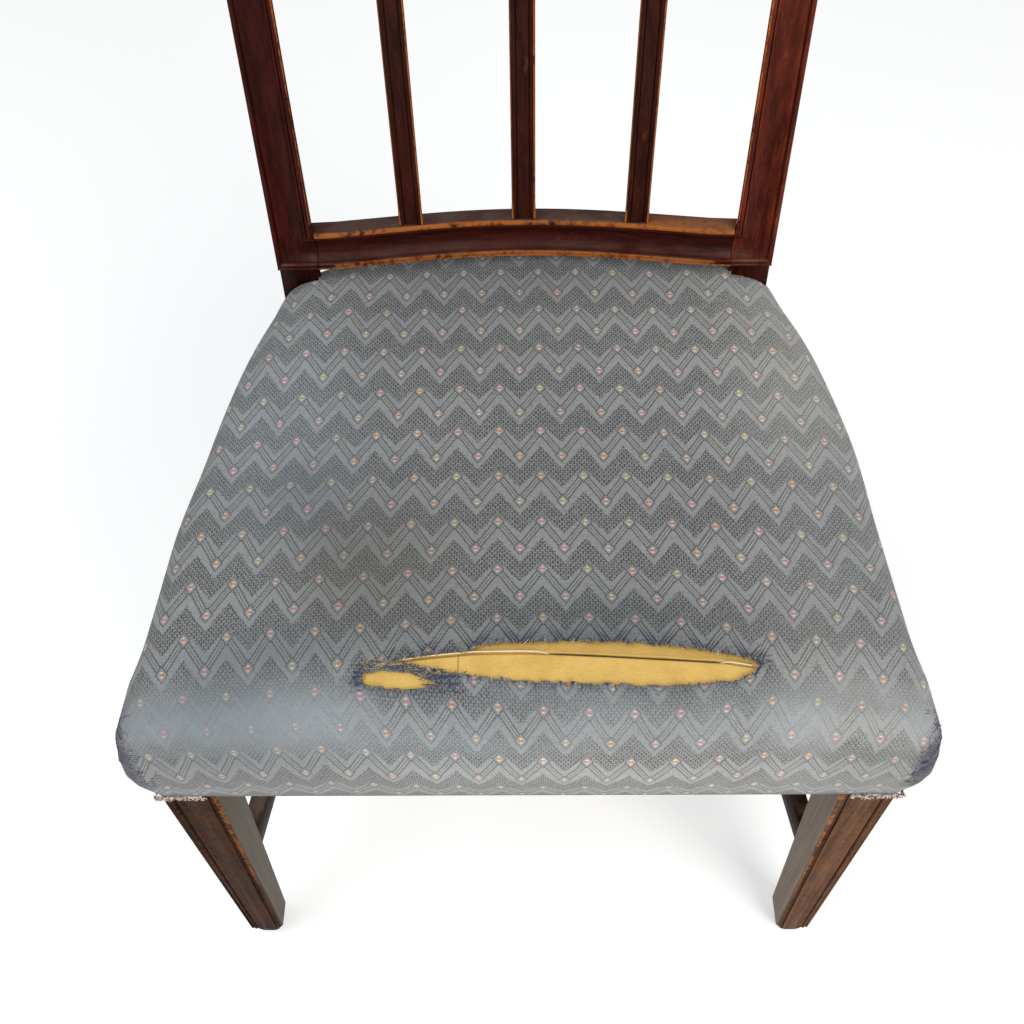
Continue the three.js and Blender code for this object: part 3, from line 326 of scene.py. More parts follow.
class TimberGrain(SharedGroup):
    """Streaked grain, pores and slow changes of tone, along the vector's first axis."""

    name = "timber_grain"
    takes = {"Along": VECTOR, "Place": VECTOR}

    def fill(self, graph: Graph, given: dict, gives: dict) -> None:
        """Reads three noises that are drawn out along the grain."""
        along = given["Along"]
        bend = graph.noise(graph.stretch(along, (3, 14, 14)), 1.0, 2.0)
        shift = graph.join(0.0, graph.mul(graph.sub(bend, 0.5), 0.012), 0.0)
        bent = graph.node("ShaderNodeVectorMath", {0: along, 1: shift}, operation="ADD").outputs[0]
        pores = graph.noise(graph.stretch(bent, (90, 1500, 1500)), 1.0, 2.0, 0.5)
        gives["Streak"] = graph.noise(graph.stretch(bent, (7, 210, 210)), 1.0, 5.0, 0.62)
        gives["Pores"] = graph.step(pores, 0.66, 0.5)
        gives["Tone"] = graph.noise(given["Place"], 9.0, 3.0, 0.55)
        gives["Fine"] = graph.noise(graph.stretch(bent, (28, 620, 620)), 1.0, 3.0, 0.55)

    def run(self, graph: Graph, place: Socket, run: Run) -> bpy.types.bpy_prop_collection:
        """Places the group for a timber whose grain runs one way, and returns its outputs."""
        x, y, z = graph.split(place)
        along = {Run.UP: (z, x, y), Run.ACROSS: (x, y, z), Run.DEEP: (y, x, z)}[run]
        return self.place(graph, {"Along": graph.join(*along), "Place": place})


class EdgeWearAndHollowShade(SharedGroup):
    """Where handling has rubbed the polish off crests and edges, where dirt has stayed, and where shade
    is painted into the hollows.
    """

    name = "edge_wear"
    takes = {"Place": VECTOR, "Crest": FLOAT, "Hollow": FLOAT, "Amount": FLOAT}

    def fill(self, graph: Graph, given: dict, gives: dict) -> None:
        """Breaks up the crests and hollows with noise."""
        broad = graph.noise(given["Place"], 24.0, 4.0, 0.65)
        small = graph.noise(given["Place"], 210.0, 3.0, 0.6)
        patch = graph.add(graph.mul(broad, 0.9), graph.mul(small, 0.9))
        reach = graph.add(patch, graph.mul(given["Amount"], 0.5))
        worn = graph.mul(graph.step(reach, 0.98, 1.3), graph.step(given["Crest"], 0.8, 0.97))
        patchy = graph.math("MULTIPLY_ADD", graph.step(broad, 0.3, 0.6), 0.35, 0.55)
        scratch = graph.noise(graph.stretch(given["Place"], (160, 160, 34)), 1.0, 2.0)
        gives["Worn"] = graph.math("MINIMUM", worn, 1.0)
        # Hollows get dirt, and painted shade where they fall in shadow.
        gives["Dirt"] = graph.mul(given["Hollow"], patchy)
        gives["Scratch"] = graph.step(scratch, 0.7, 0.76)


class DustFilm(SharedGroup):
    """Dust on what faces up."""

    name = "dust_film"
    takes = {"Place": VECTOR, "Normal": VECTOR, "Amount": FLOAT}

    def fill(self, graph: Graph, given: dict, gives: dict) -> None:
        """Reads how far the surface faces up, and breaks it up."""
        up = graph.step(graph.split(given["Normal"])[2], 0.35, 0.95)
        patch = graph.step(graph.noise(given["Place"], 42.0, 4.0, 0.65), 0.32, 0.66)
        gives["Dust"] = graph.mul(graph.mul(up, patch), given["Amount"])


class ZigzagWeave(SharedGroup):
    """Masks of the cloth's zigzags, hatched grounds and rosettes, from places in it in metres."""

    name = "zigzag_weave"
    takes = {"Cloth": VECTOR}
    half_wide = 15.0
    half_long = 20.43
    fall = 22.9
    across = -3.78
    start = 207.85
    wobble = 0.7
    warp_pitch = 0.62
    weft_pitch = 0.8

    def fill(self, graph: Graph, given: dict, gives: dict) -> None:
        """Works in millimetres, from a rosette's middle."""
        inputs = {"Vector": given["Cloth"], "Scale": 130.0, "Detail": 1.0}
        shake = graph.split(graph.node("ShaderNodeTexNoise", inputs).outputs[1])
        places = []
        for place, way, start in zip(graph.split(given["Cloth"]), shake, (self.across, self.start)):
            shaken = graph.math("MULTIPLY_ADD", place, 1000.0, graph.mul(way, self.wobble))
            places.append(graph.sub(shaken, start + self.wobble / 2))
        u, v = places
        self.zigzag(graph, u, v, gives)
        self.rosettes(graph, u, v, gives)
        self.hatch(graph, u, v, gives)
        warp = graph.math("SINE", graph.mul(u, math.tau / self.warp_pitch))
        weft = graph.math("SINE", graph.mul(v, math.tau / self.weft_pitch))
        gives["Thread"] = graph.add(graph.mul(warp, 0.5), graph.mul(weft, 0.5))

    def zigzag(self, graph: Graph, u: object, v: object, gives: dict) -> None:
        """Masks the striped zigzag and the hatched ground between its borders."""
        slope = self.fall / self.half_wide
        turn = graph.math("PINGPONG", graph.sub(u, self.half_wide), self.half_wide)
        peak = self.fall - 2 * self.half_long
        below = graph.sub(graph.math("MULTIPLY_ADD", turn, -slope, peak), v)
        side = graph.wrap(below, self.half_long)
        near = graph.mul(graph.math("ABSOLUTE", side), 1 / math.hypot(1, slope))
        lower = graph.sub(side, graph.math("MULTIPLY_ADD", turn, -0.13, 14.0))
        upper = graph.sub(graph.math("MULTIPLY_ADD", turn, -0.33, -6.9), side)
        edge = graph.noise(graph.join(u, v), 0.34, 1.0)
        hatched = graph.add(graph.math("MAXIMUM", lower, upper), graph.mul(graph.sub(edge, 0.5), 3.4))
        gives["Hatch"] = graph.step(hatched, -0.6, 0.8)
        gives["Stripe"] = graph.step(near, 3.1, 2.7)
        gives["Core"] = graph.band(near, 0.95, 0.3, 0.25)
        along = graph.math("SINE", graph.mul(v, math.tau / 2.1))
        dashed = graph.math("MULTIPLY_ADD", graph.step(along, -0.9, -0.2), 0.5, 0.5)
        outer = graph.mul(graph.band(near, 2.1, 0.72, 0.4), dashed)
        middle = graph.mul(graph.band(near, 0.0, 0.36, 0.3), 0.9)
        gives["Lines"] = graph.math("MAXIMUM", middle, outer)

    def rosettes(self, graph: Graph, u: object, v: object, gives: dict) -> None:
        """Masks the rosettes, and the diamonds that hold them."""
        sets = []
        for shift in (0.0, 1.0):
            across = graph.sub(u, self.half_wide * shift)
            along = graph.sub(v, self.fall * shift)
            du = graph.wrap(across, self.half_wide)
            dv = graph.wrap(along, self.half_long)
            au, av = graph.math("ABSOLUTE", du), graph.math("ABSOLUTE", dv)
            diamond = graph.add(graph.mul(au, 1 / 4.3), graph.mul(av, 1 / 5.8))
            sets.append((diamond, au, av, graph.sub(across, du), graph.sub(along, dv)))
        first = graph.math("LESS_THAN", sets[0][0], sets[1][0])
        diamond, au, av, place_u, place_v = (graph.blend(first, other, own) for own, other in zip(*sets))
        own_place = graph.join(graph.add(place_u, 7.3), graph.add(place_v, 3.1), first)
        squares = [graph.math("POWER", graph.mul(a, 1 / half), 2.0) for a, half in ((au, 2.0), (av, 2.6))]
        oval = graph.math("SQRT", graph.add(*squares))
        gives["Outline"] = graph.band(diamond, 1.0, 0.13, 0.09)
        gives["Rosette"] = graph.step(oval, 1.15, 0.85)
        gives["Glint"] = graph.mul(graph.band(av, 1.6, 0.45, 0.3), graph.step(au, 1.1, 0.5))
        gives["Bar"] = graph.mul(graph.step(au, 2.0, 1.2), graph.step(av, 0.95, 0.45))
        gives["Pick"] = graph.node("ShaderNodeTexWhiteNoise", {0: own_place}).outputs[0]
        gives["Inside"] = graph.step(diamond, 1.0, 0.94)

    def hatch(self, graph: Graph, u: object, v: object, gives: dict) -> None:
        """Masks the small staggered dashes of the hatched ground."""
        dashes = []
        for shift in (0.0, 1.0):
            du = graph.math("ABSOLUTE", graph.wrap(graph.sub(u, 1.7 * shift), 1.7))
            dv = graph.math("ABSOLUTE", graph.wrap(graph.sub(v, 2.1 * shift), 2.1))
            dashes.append(graph.math("MAXIMUM", graph.mul(du, 1 / 0.72), graph.mul(dv, 1 / 1.75)))
        near = graph.math("MINIMUM", *dashes)
        gives["Dash"] = graph.step(near, 1.25, 0.65)


@dataclass(frozen=True)
class Finish:
    """A finish that makes one material."""

    name: str

    def paint(self, graph: Graph, shader: dict) -> None:
        """Fills in what the shader's sockets get, by their names."""
        raise NotImplementedError

    def material(self) -> bpy.types.Material:
        """Returns the finish's material, which is built once."""
        found = bpy.data.materials.get(self.name)
        if found:
            return found
        made = bpy.data.materials.new(self.name)
        made.use_nodes = True
        graph, values = Graph(made.node_tree), {}
        self.paint(graph, values)
        shader = next(n for n in made.node_tree.nodes if n.type == "BSDF_PRINCIPLED")
        for name, value in values.items():
            graph.put(shader.inputs[name], value)
        return made


@dataclass(frozen=True)
class Mahogany(Finish):
    """Old polished mahogany, rubbed on its edges, with dirt and painted shade in its hollows, and a
    painted sheen on the legs' inner sides.
    """

    run: Run = Run.UP
    dark: Colour = rgb(48, 13, 11)
    middle: Colour = rgb(78, 26, 20)
    light: Colour = rgb(92, 40, 25)
    rubbed: Colour = rgb(190, 108, 42)
    # Colour of the pores' dirt, and of the dirt and painted shade in the hollows.
    dirt: Colour = rgb(14, 7, 6)
    # Tint of the dust, and of the painted sheen on the legs' inner sides.
    film: Colour = rgb(128, 112, 98)
    wear: float = 0.5
    dust: float = 0.35
    gloss: float = 0.07

    def paint(self, graph: Graph, shader: dict) -> None:
        """Layers grain, wear, dirt with painted shade in the hollows, dust, and a painted sheen."""
        place = graph.place()
        grain = TimberGrain().run(graph, place, self.run)
        crest, hollow = graph.attribute("crest"), graph.attribute("hollow")
        inputs = {"Place": place, "Crest": crest, "Hollow": hollow, "Amount": self.wear}
        edges = EdgeWearAndHollowShade().place(graph, inputs)
        normal = graph.node("ShaderNodeNewGeometry").outputs["Normal"]
        dust = DustFilm().place(graph, {"Place": place, "Normal": normal, "Amount": self.dust})
        colour = graph.mix(graph.step(grain["Streak"], 0.34, 0.66), self.dark, self.middle)
        colour = graph.lay(colour, self.light, graph.step(grain["Tone"], 0.45, 0.75), 0.22)
        colour = graph.lay(colour, self.dirt, grain["Pores"], 0.3)
        # Dirt, and painted shade, in the hollows.
        colour = graph.lay(colour, self.dirt, edges["Dirt"])
        rubbed = graph.mix(graph.mul(grain["Fine"], 0.6), self.rubbed, self.light)
        colour = graph.lay(colour, rubbed, edges["Worn"], 0.9)
        colour = graph.lay(colour, self.rubbed, edges["Scratch"], 0.1)
        colour = graph.lay(colour, self.film, dust["Dust"])
        # Painted sheen: a grey film on the legs' inner sides stands for the reflection of the white
        # surroundings.
        streaky = graph.math("MULTIPLY_ADD", grain["Streak"], 0.5, 0.3)
        colour = graph.lay(colour, self.film, graph.mul(graph.attribute("pale"), streaky))
        shader["Base Color"] = colour
        rough = graph.add(graph.mul(grain["Fine"], 0.16), graph.mul(edges["Worn"], 0.16))
        rough = graph.add(rough, graph.mul(dust["Dust"], 0.3))
        shader["Roughness"] = graph.add(rough, 0.24)
        shader["Specular IOR Level"] = self.gloss
        height = graph.sub(graph.mul(grain["Fine"], 0.6), graph.mul(grain["Pores"], 0.5))
        shader["Normal"] = graph.bump(graph.sub(height, graph.mul(edges["Scratch"], 0.5)), 0.0004, 0.35)


@dataclass(frozen=True)
class Beech(Finish):
    """Plain beech of the hidden frame, aged and dusty."""

    run: Run = Run.ACROSS
    dark: Colour = rgb(138, 98, 60)
    light: Colour = rgb(186, 146, 98)
    pores: Colour = rgb(92, 62, 38)
    aged: Colour = rgb(116, 92, 68)

    def paint(self, graph: Graph, shader: dict) -> None:
        """Layers grain and flecks."""
        place = graph.place()
        grain = TimberGrain().run(graph, place, self.run)
        colour = graph.mix(graph.step(grain["Streak"], 0.3, 0.7), self.dark, self.light)
        colour = graph.lay(colour, self.pores, grain["Pores"], 0.4)
        colour = graph.lay(colour, self.aged, grain["Tone"], 0.35)
        shader["Base Color"] = colour
        shader["Roughness"] = graph.add(graph.mul(grain["Fine"], 0.2), 0.6)
        shader["Normal"] = graph.bump(grain["Fine"], 0.0004, 0.4)


@dataclass(frozen=True)
class WornCloth(Finish):
    """The seat's woven cloth: zigzags and rosettes, faded, soiled and rubbed smooth in places, with
    painted light that brightens and warms its right side and front wall and cools its left.
    """

    ground: Colour = rgb(151, 151, 151)
    hatch: Colour = rgb(156, 156, 154)
    dash: Colour = rgb(30, 33, 37)
    line: Colour = rgb(58, 61, 64)
    core: Colour = rgb(166, 168, 164)
    cream: Colour = rgb(206, 198, 174)
    # Bluish tint of the painted cool light.
    cool: Colour = rgb(128, 144, 156)
    indigo: Colour = rgb(36, 39, 60)
    # Tint of the soil and of the painted warm light.
    soil: Colour = rgb(150, 142, 124)
    glint: Colour = rgb(240, 238, 228)
    faded: Colour = rgb(142, 150, 156)
    bars: tuple[tuple[float, Colour], ...] = (
        (0.0, rgb(184, 80, 70)), (0.3, rgb(202, 112, 56)),
        (0.55, rgb(170, 158, 84)), (0.8, rgb(196, 96, 128)),
    )

    def paint(self, graph: Graph, shader: dict) -> None:
        """Layers the woven pattern, its fading, the dirt, the painted light and the shine of rubbed
        places.
        """
        cloth = graph.cloth()
        place = graph.place()
        weave = ZigzagWeave().place(graph, {"Cloth": cloth})
        names = ("rubbed", "frayed", "warm", "cool", "tone")
        rubbed, frayed, warm, cool, tone = map(graph.attribute, names)
        speck = graph.noise(place, 640.0, 3.0, 0.7)
        blotch = graph.noise(place, 16.0, 4.0, 0.6)
        fade = graph.mul(rubbed, graph.step(graph.add(blotch, graph.mul(speck, 0.3)), 0.35, 0.75))
        keep = graph.sub(1.0, graph.mul(fade, 0.8))
        ground = graph.mix(weave["Hatch"], self.ground, self.hatch)
        broken = graph.step(graph.noise(place, 520.0, 2.0, 0.6), 0.36, 0.56)
        broken = graph.math("MULTIPLY_ADD", broken, 0.35, 0.65)
        dash = graph.mul(graph.mul(graph.mul(weave["Hatch"], weave["Dash"]), keep), broken)
        colour = graph.mix(graph.mul(dash, 0.95), ground, self.dash)
        colour = graph.lay(colour, graph.mix(0.5, self.ground, self.hatch), weave["Stripe"], 0.55)
        colour = graph.lay(colour, self.core, graph.mul(weave["Core"], keep))
        colour = graph.lay(colour, self.line, graph.mul(weave["Lines"], keep), 0.85)
        colour = graph.lay(colour, self.ground, weave["Inside"])
        colour = graph.lay(colour, self.line, graph.mul(weave["Outline"], keep), 0.8)
        bars = graph.ramp(weave["Pick"], self.bars)
        colour = graph.lay(colour, self.cream, weave["Rosette"])
        colour = graph.lay(colour, bars, weave["Rosette"], 0.38)
        colour = graph.lay(colour, bars, weave["Bar"], 0.75)
        colour = graph.lay(colour, self.glint, weave["Glint"], 0.8)
        grit = graph.noise(place, 1300.0, 2.0, 0.7)
        for spots, dark, light in ((grit, 0.45, 0.35), (speck, 0.42, 0.42)):
            colour = graph.lay(colour, self.line, graph.step(spots, 0.5, 0.7), dark)
            colour = graph.lay(colour, self.core, graph.step(spots, 0.46, 0.3), light)
        # Tone: stains, and painted light that brightens the right side and the front wall.
        tone = graph.mul(tone, graph.add(graph.mul(blotch, 0.36), 0.82))
        colour = graph.lay(colour, self.faded, fade, 0.5)
        # Warm tint: soil, and painted light from the right; cool tint: painted cool light on the left.
        colour = graph.lay(colour, self.soil, warm, 0.3)
        colour = graph.lay(colour, self.cool, cool, 0.3)
        colour = graph.mix(1.0, colour, graph.grey(tone), "MULTIPLY")
        bare = graph.step(graph.add(graph.mul(grit, 0.5), graph.mul(speck, 0.5)), 0.44, 0.56)
        stripe = graph.mul(weave["Stripe"], graph.sub(1.0, weave["Core"]))
        stripe = graph.mul(graph.mul(stripe, graph.sub(1.0, weave["Inside"])), 0.55)
        dark = graph.add(graph.math("MULTIPLY_ADD", bare, 0.42, 0.16), stripe)
        dark = graph.math("MINIMUM", graph.mul(frayed, dark), 1.0)
        colour = graph.lay(colour, self.indigo, dark)
        shader["Base Color"] = colour
        shader["Roughness"] = graph.sub(0.86, graph.mul(fade, 0.22))
        shader["Sheen Weight"] = 0.25
        shader["Sheen Roughness"] = 0.5
        shader["Specular IOR Level"] = 0.35
        raised = graph.add(graph.mul(weave["Rosette"], 1.6), graph.mul(weave["Thread"], 0.35))
        raised = graph.sub(graph.sub(raised, graph.mul(dash, 0.6)), graph.mul(weave["Lines"], 0.5))
        shader["Normal"] = graph.bump(graph.add(raised, graph.mul(speck, 0.6)), 0.0005, 0.7)


@dataclass(frozen=True)
class Foam(Finish):
    """Yellowed latex foam with open pores, and painted shade in and behind its slit."""

    bright: Colour = rgb(226, 186, 102)
    deep: Colour = rgb(192, 148, 70)
    shaded: Colour = rgb(150, 110, 46)
    # Colour of the painted shadow in the slit and along the cut.
    slit: Colour = rgb(46, 30, 20)
    cut_at: float = -43.0

    def paint(self, graph: Graph, shader: dict) -> None:
        """Layers pores, stains, painted shade behind the slit, and painted shadow in the slit, under the
        welt and along the cut.
        """
        place = graph.place()
        shade, slit, sunk, across = map(graph.attribute, ("shade", "slit", "sunk", "across"))
        inputs = {"Vector": place, "Scale": 900.0, "Randomness": 1.0}
        pores = graph.node("ShaderNodeTexVoronoi", inputs).outputs[0]
        stain = graph.noise(place, 60.0, 4.0, 0.6)
        soiled = graph.mix(0.4, self.bright, self.deep)
        colour = graph.lay(self.bright, soiled, graph.step(stain, 0.35, 0.75))
        colour = graph.lay(colour, self.deep, graph.step(pores, 0.35, 0.1), 0.5)
        colour = graph.lay(colour, self.shaded, shade)
        # Painted shadow: in the slit where the welt sinks, just under the welt, and along the cut.
        deep = graph.mul(graph.band(slit, 0.0, 0.75, 0.45), sunk)
        under = graph.mul(graph.band(slit, -1.1, 0.25, 0.4), 0.6)
        before = graph.mul(graph.step(slit, 0.0, -0.5), 0.75)
        cut = graph.mul(graph.band(across, self.cut_at, 0.3, 0.35), before)
        dark = graph.math("MAXIMUM", graph.math("MAXIMUM", deep, under), cut)
        colour = graph.lay(colour, self.slit, dark, 0.9)
        shader["Base Color"] = colour
        shader["Roughness"] = graph.add(graph.mul(stain, 0.1), 0.85)
        shader["Normal"] = graph.bump(graph.add(pores, graph.mul(stain, 0.5)), 0.0006, 0.5)


@dataclass(frozen=True)
class Yarn(Finish):
    """Loose yarn."""

    tint: Colour = rgb(60, 62, 88)

    def paint(self, graph: Graph, shader: dict) -> None:
        """Breaks the colour up along the fibres."""
        fibre = graph.noise(graph.place(), 1600.0, 2.0, 0.6)
        shade = graph.grey(graph.add(graph.mul(fibre, 0.7), 0.65))
        shader["Base Color"] = graph.mix(1.0, self.tint, shade, "MULTIPLY")
        shader["Roughness"] = graph.add(graph.mul(fibre, 0.1), 0.8)
        shader["Normal"] = graph.bump(fibre, 0.0002, 0.4)


@dataclass(frozen=True)
class PlainWeave(Finish):
    """Coarse plain weave of the webbing and the hessian, with stripes along the webbing's edges."""

    light: Colour = rgb(168, 146, 104)
    dark: Colour = rgb(104, 84, 54)
    edging: Colour = rgb(112, 46, 38)
    pitch: float = 1.4 * MM
    stripe: float = 0.0

    def paint(self, graph: Graph, shader: dict) -> None:
        """Crosses two sets of threads."""
        x, y, _ = graph.split(graph.cloth())
        warp, weft = (graph.math("SINE", graph.mul(way, math.tau / self.pitch)) for way in (x, y))
        loose = graph.noise(graph.place(), 240.0, 3.0, 0.6)
        height = graph.add(graph.mul(graph.mul(warp, weft), 0.5), loose)
        colour = graph.mix(graph.step(height, 0.0, 1.0), self.dark, self.light)
        if self.stripe:
            edge = graph.band(graph.math("ABSOLUTE", x), self.stripe, 1.6 * MM, 0.4 * MM)
            colour = graph.lay(colour, self.edging, edge, 0.8)
        shader["Base Color"] = colour
        shader["Roughness"] = graph.add(graph.mul(loose, 0.1), 0.85)
        shader["Normal"] = graph.bump(height, 0.0005, 0.6)


@dataclass(frozen=True)
class Steel(Finish):
    """Dull steel with a little rust."""

    clean: Colour = rgb(120, 118, 114)
    rust: Colour = rgb(96, 58, 36)

    def paint(self, graph: Graph, shader: dict) -> None:
        """Spreads rust over steel."""
        spread = graph.step(graph.noise(graph.place(), 260.0, 4.0, 0.65), 0.42, 0.62)
        shader["Base Color"] = graph.mix(spread, self.clean, self.rust)
        shader["Metallic"] = graph.sub(1.0, graph.mul(spread, 0.8))
        shader["Roughness"] = graph.add(graph.mul(spread, 0.35), 0.4)
        shader["Normal"] = graph.bump(spread, 0.0002, 0.3)


@dataclass(frozen=True)
class PaleFloor(Finish):
    """A floor that shows white, and keeps the shadows."""

    glow: float = 0.42

    def paint(self, graph: Graph, shader: dict) -> None:
        """Adds light where the camera looks."""
        shader["Base Color"] = (0.8, 0.8, 0.8, 1)
        shader["Roughness"] = 1.0
        shader["Specular IOR Level"] = 0.0
        shader["Emission Color"] = (1, 1, 1, 1)
        shader["Emission Strength"] = graph.mul(graph.seen(), self.glow)


def number_layers(piece: Piece, **layers: list[float]) -> None:
    """Keeps numbers for each vertex of a piece, by the name of their layer."""
    attributes = piece.data.attributes
    for name, values in layers.items():
        layer = attributes.get(name) or attributes.new(name, "FLOAT", "POINT")
        layer.data.foreach_set("value", values)


def add_object(name: str, data: bpy.types.ID) -> Piece:
    """Puts new data into the scene as an object."""
    made = bpy.data.objects.new(name, data)
    bpy.context.scene.collection.objects.link(made)
    return made


def solid(node: str) -> Shape:
    """Returns a copy of a CAD solid's shape, with its vertices joined."""
    shape = bmesh.new()
    shape.from_mesh(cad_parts[node].data)
    bmesh.ops.remove_doubles(shape, verts=shape.verts, dist=0.01 * MM)
    return shape


def cut(shape: Shape, place: Vector, normal: Vector, faces: list | None = None) -> None:
    """Adds edges where a plane crosses the given faces, or the whole shape."""
    geom = [*shape.verts, *shape.edges, *shape.faces]
    if faces is not None:
        geom = list({g for f in faces for g in (*f.verts, *f.edges, f)})
    bmesh.ops.bisect_plane(shape, geom=geom, plane_co=place, plane_no=normal, dist=1e-6)


def refine(shape: Shape, faces: list, cuts: int) -> None:
    """Divides the edges of the given faces."""
    edges = list({e for f in faces for e in f.edges})
    bmesh.ops.subdivide_edges(shape, edges=edges, cuts=cuts, use_grid_fill=True)


def draw_out(shape: Shape, square: dict, steps: list[Callable], follow: Callable | None = None) -> None:
    """Draws a sheet's rim out, step by step.

    Args:
        shape: The sheet.
        square: Each vertex's point of the unit square, which the new vertices take over.
        steps: For each step, what gives the place of a point of the unit square.
        follow: What is called with each new vertex and the one that it comes from.
    """
    for put in steps:
        rim = [e for e in shape.edges if e.is_boundary]
        made = bmesh.ops.extrude_edge_only(shape, edges=rim)["geom"]
        fresh = {g for g in made if isinstance(g, bmesh.types.BMVert)}
        for vert in fresh:
            parent = next(e.other_vert(vert) for e in vert.link_edges if e.other_vert(vert) not in fresh)
            square[vert] = square[parent]
            vert.co = put(*square[vert])
            if follow:
                follow(vert, parent)


def face_way(shape: Shape, way: float) -> None:
    """Turns a sheet's faces up, for a way of 1, or down, for -1."""
    bmesh.ops.recalc_face_normals(shape, faces=shape.faces)
    if way * sum(f.normal.z for f in shape.faces) < 0:
        bmesh.ops.reverse_faces(shape, faces=shape.faces)


def thicken(piece: Piece, thickness: float) -> None:
    """Gives a sheet its thickness, inwards from its outer side."""
    wall = piece.modifiers.new("cloth_thickness", "SOLIDIFY")
    wall.thickness = thickness
    wall.offset = -1.0


def settle(name: str, shape: Shape, finish: Finish, slot: Slot, soft_angle: float = 40.0) -> Piece:
    """Turns a finished shape into a piece that rides on the chair.

    Args:
        name: The piece's name.
        shape: The shape, which is freed.
        finish: The piece's finish.
        slot: The record's slot of that finish; not used.
        soft_angle: Edges sharper than this many degrees stay sharp.

    Returns:
        The new object.
    """
    for face in shape.faces:
        face.smooth = True
    for edge in shape.edges:
        if len(edge.link_faces) == 2:
            edge.smooth = edge.calc_face_angle(0.0) < math.radians(soft_angle)
    mesh = bpy.data.meshes.new(name)
    shape.to_mesh(mesh)
    shape.free()
    mesh.materials.append(finish.material())
    piece = add_object(name, mesh)
    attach(piece, "root")
    LOG.info("%s: %d faces", name, len(mesh.polygons))
    return piece


@dataclass
class Back:
    """Places on the raked face of the back, which the moulding's depth is measured from."""

    rake: float = math.radians(9.5)
    bow: float = 18 * MM
    front: float = 380 * MM
    rise: float = 430 * MM
    half: float = 163.5 * MM
    spread: float = 0.0156

    def inner(self, z: float) -> float:
        """Returns how far the posts' inner sides stand from the middle at a height."""
        return self.half + (z - self.rise) * self.spread

    def depth(self, place: Vector) -> float:
        """Returns how far a point lies behind the flat raked face.

        Args:
            place: The point.

        Returns:
            The depth in metres.
        """
        y, z = place.y - LEG_FRONT - self.front, place.z - self.rise
        return y * math.cos(self.rake) - z * math.sin(self.rake)

    def up(self) -> Vector:
        """Returns the direction up along the rake."""
        return Vector((0, math.sin(self.rake), math.cos(self.rake)))

    def into(self) -> Vector:
        """Returns the direction back from the raked face."""
        return Vector((0, math.cos(self.rake), -math.sin(self.rake)))

    def bowed(self, x: float) -> float:
        """Returns the bow of the back's rails at a place across."""
        share = min(abs(x) / self.half, 1.0)
        return self.bow * (1 - share * share) ** 1.5


BACK = Back()


@dataclass
class Timber:
    """A piece of the frame: the CAD solid with eased edges and marks of wear."""

    node: str
    finish: Finish
    slot: Slot = Slot.MAHOGANY
    ease: float = 0.7 * MM
    sharp: float = 24.0
    flat: float = 0.6
    edge_share: float = 1.0
    edge_turn: Pair = (14, 30)
    corner_turn: Pair = (25, 50)

    @cached_property
    def box(self) -> tuple[Vector, Vector]:
        """The solid's box."""
        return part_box(self.node)

    def mark(self, place: Vector) -> Pair:
        """Returns how far a point lies on a crest and in a hollow, each from 0 to 1."""
        return 0.0, 0.0

    def pale(self, place: Vector) -> float:
        """Returns how much painted sheen a point gets, from 0 to 1."""
        return 0.0

    def shape_up(self, shape: Shape) -> None:
        """Changes the copied solid before its edges are eased."""

    def build(self) -> Piece:
        """Copies the CAD solid, eases its edges and marks its crests and hollows.

        Returns:
            The finished piece.
        """
        shape = solid(self.node)
        flat = math.radians(self.flat)
        bmesh.ops.dissolve_limit(shape, angle_limit=flat, verts=shape.verts, edges=shape.edges)
        self.shape_up(shape)
        limit = math.radians(self.sharp)
        edges = [e for e in shape.edges if len(e.link_faces) == 2 and e.calc_face_angle(0.0) > limit]
        eased = bmesh.ops.bevel(
            shape, geom=edges, offset=self.ease, segments=2, profile=0.5, affect="EDGES",
            clamp_overlap=True, material=-1,
        )
        fresh = {v for f in eased["faces"] for v in f.verts}
        bmesh.ops.triangulate(shape, faces=[f for f in shape.faces if len(f.verts) > 4])
        shape.normal_update()
        crests, hollows = [], []
        for vert in shape.verts:
            crest, hollow = self.mark(vert.co)
            turns = [e.calc_face_angle_signed(0.0) for e in vert.link_edges if len(e.link_faces) == 2]
            out = math.degrees(max(turns, default=0.0)) if vert in fresh else 0.0
            crests.append(max(crest, smooth(out, *self.edge_turn) * self.edge_share))
            # Inside corners count as hollows, which the finish darkens: dirt, and painted shade where the
            # corner falls in shadow.
            hollows.append(max(hollow, smooth(-math.degrees(min(turns, default=0.0)), *self.corner_turn)))
        painted_inner_sheens = [self.pale(vert.co) for vert in shape.verts]
        piece = settle(self.node + "_worn", shape, self.finish, self.slot)
        number_layers(piece, pale=painted_inner_sheens, crest=crests, hollow=hollows)
        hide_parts(self.node)
        return piece


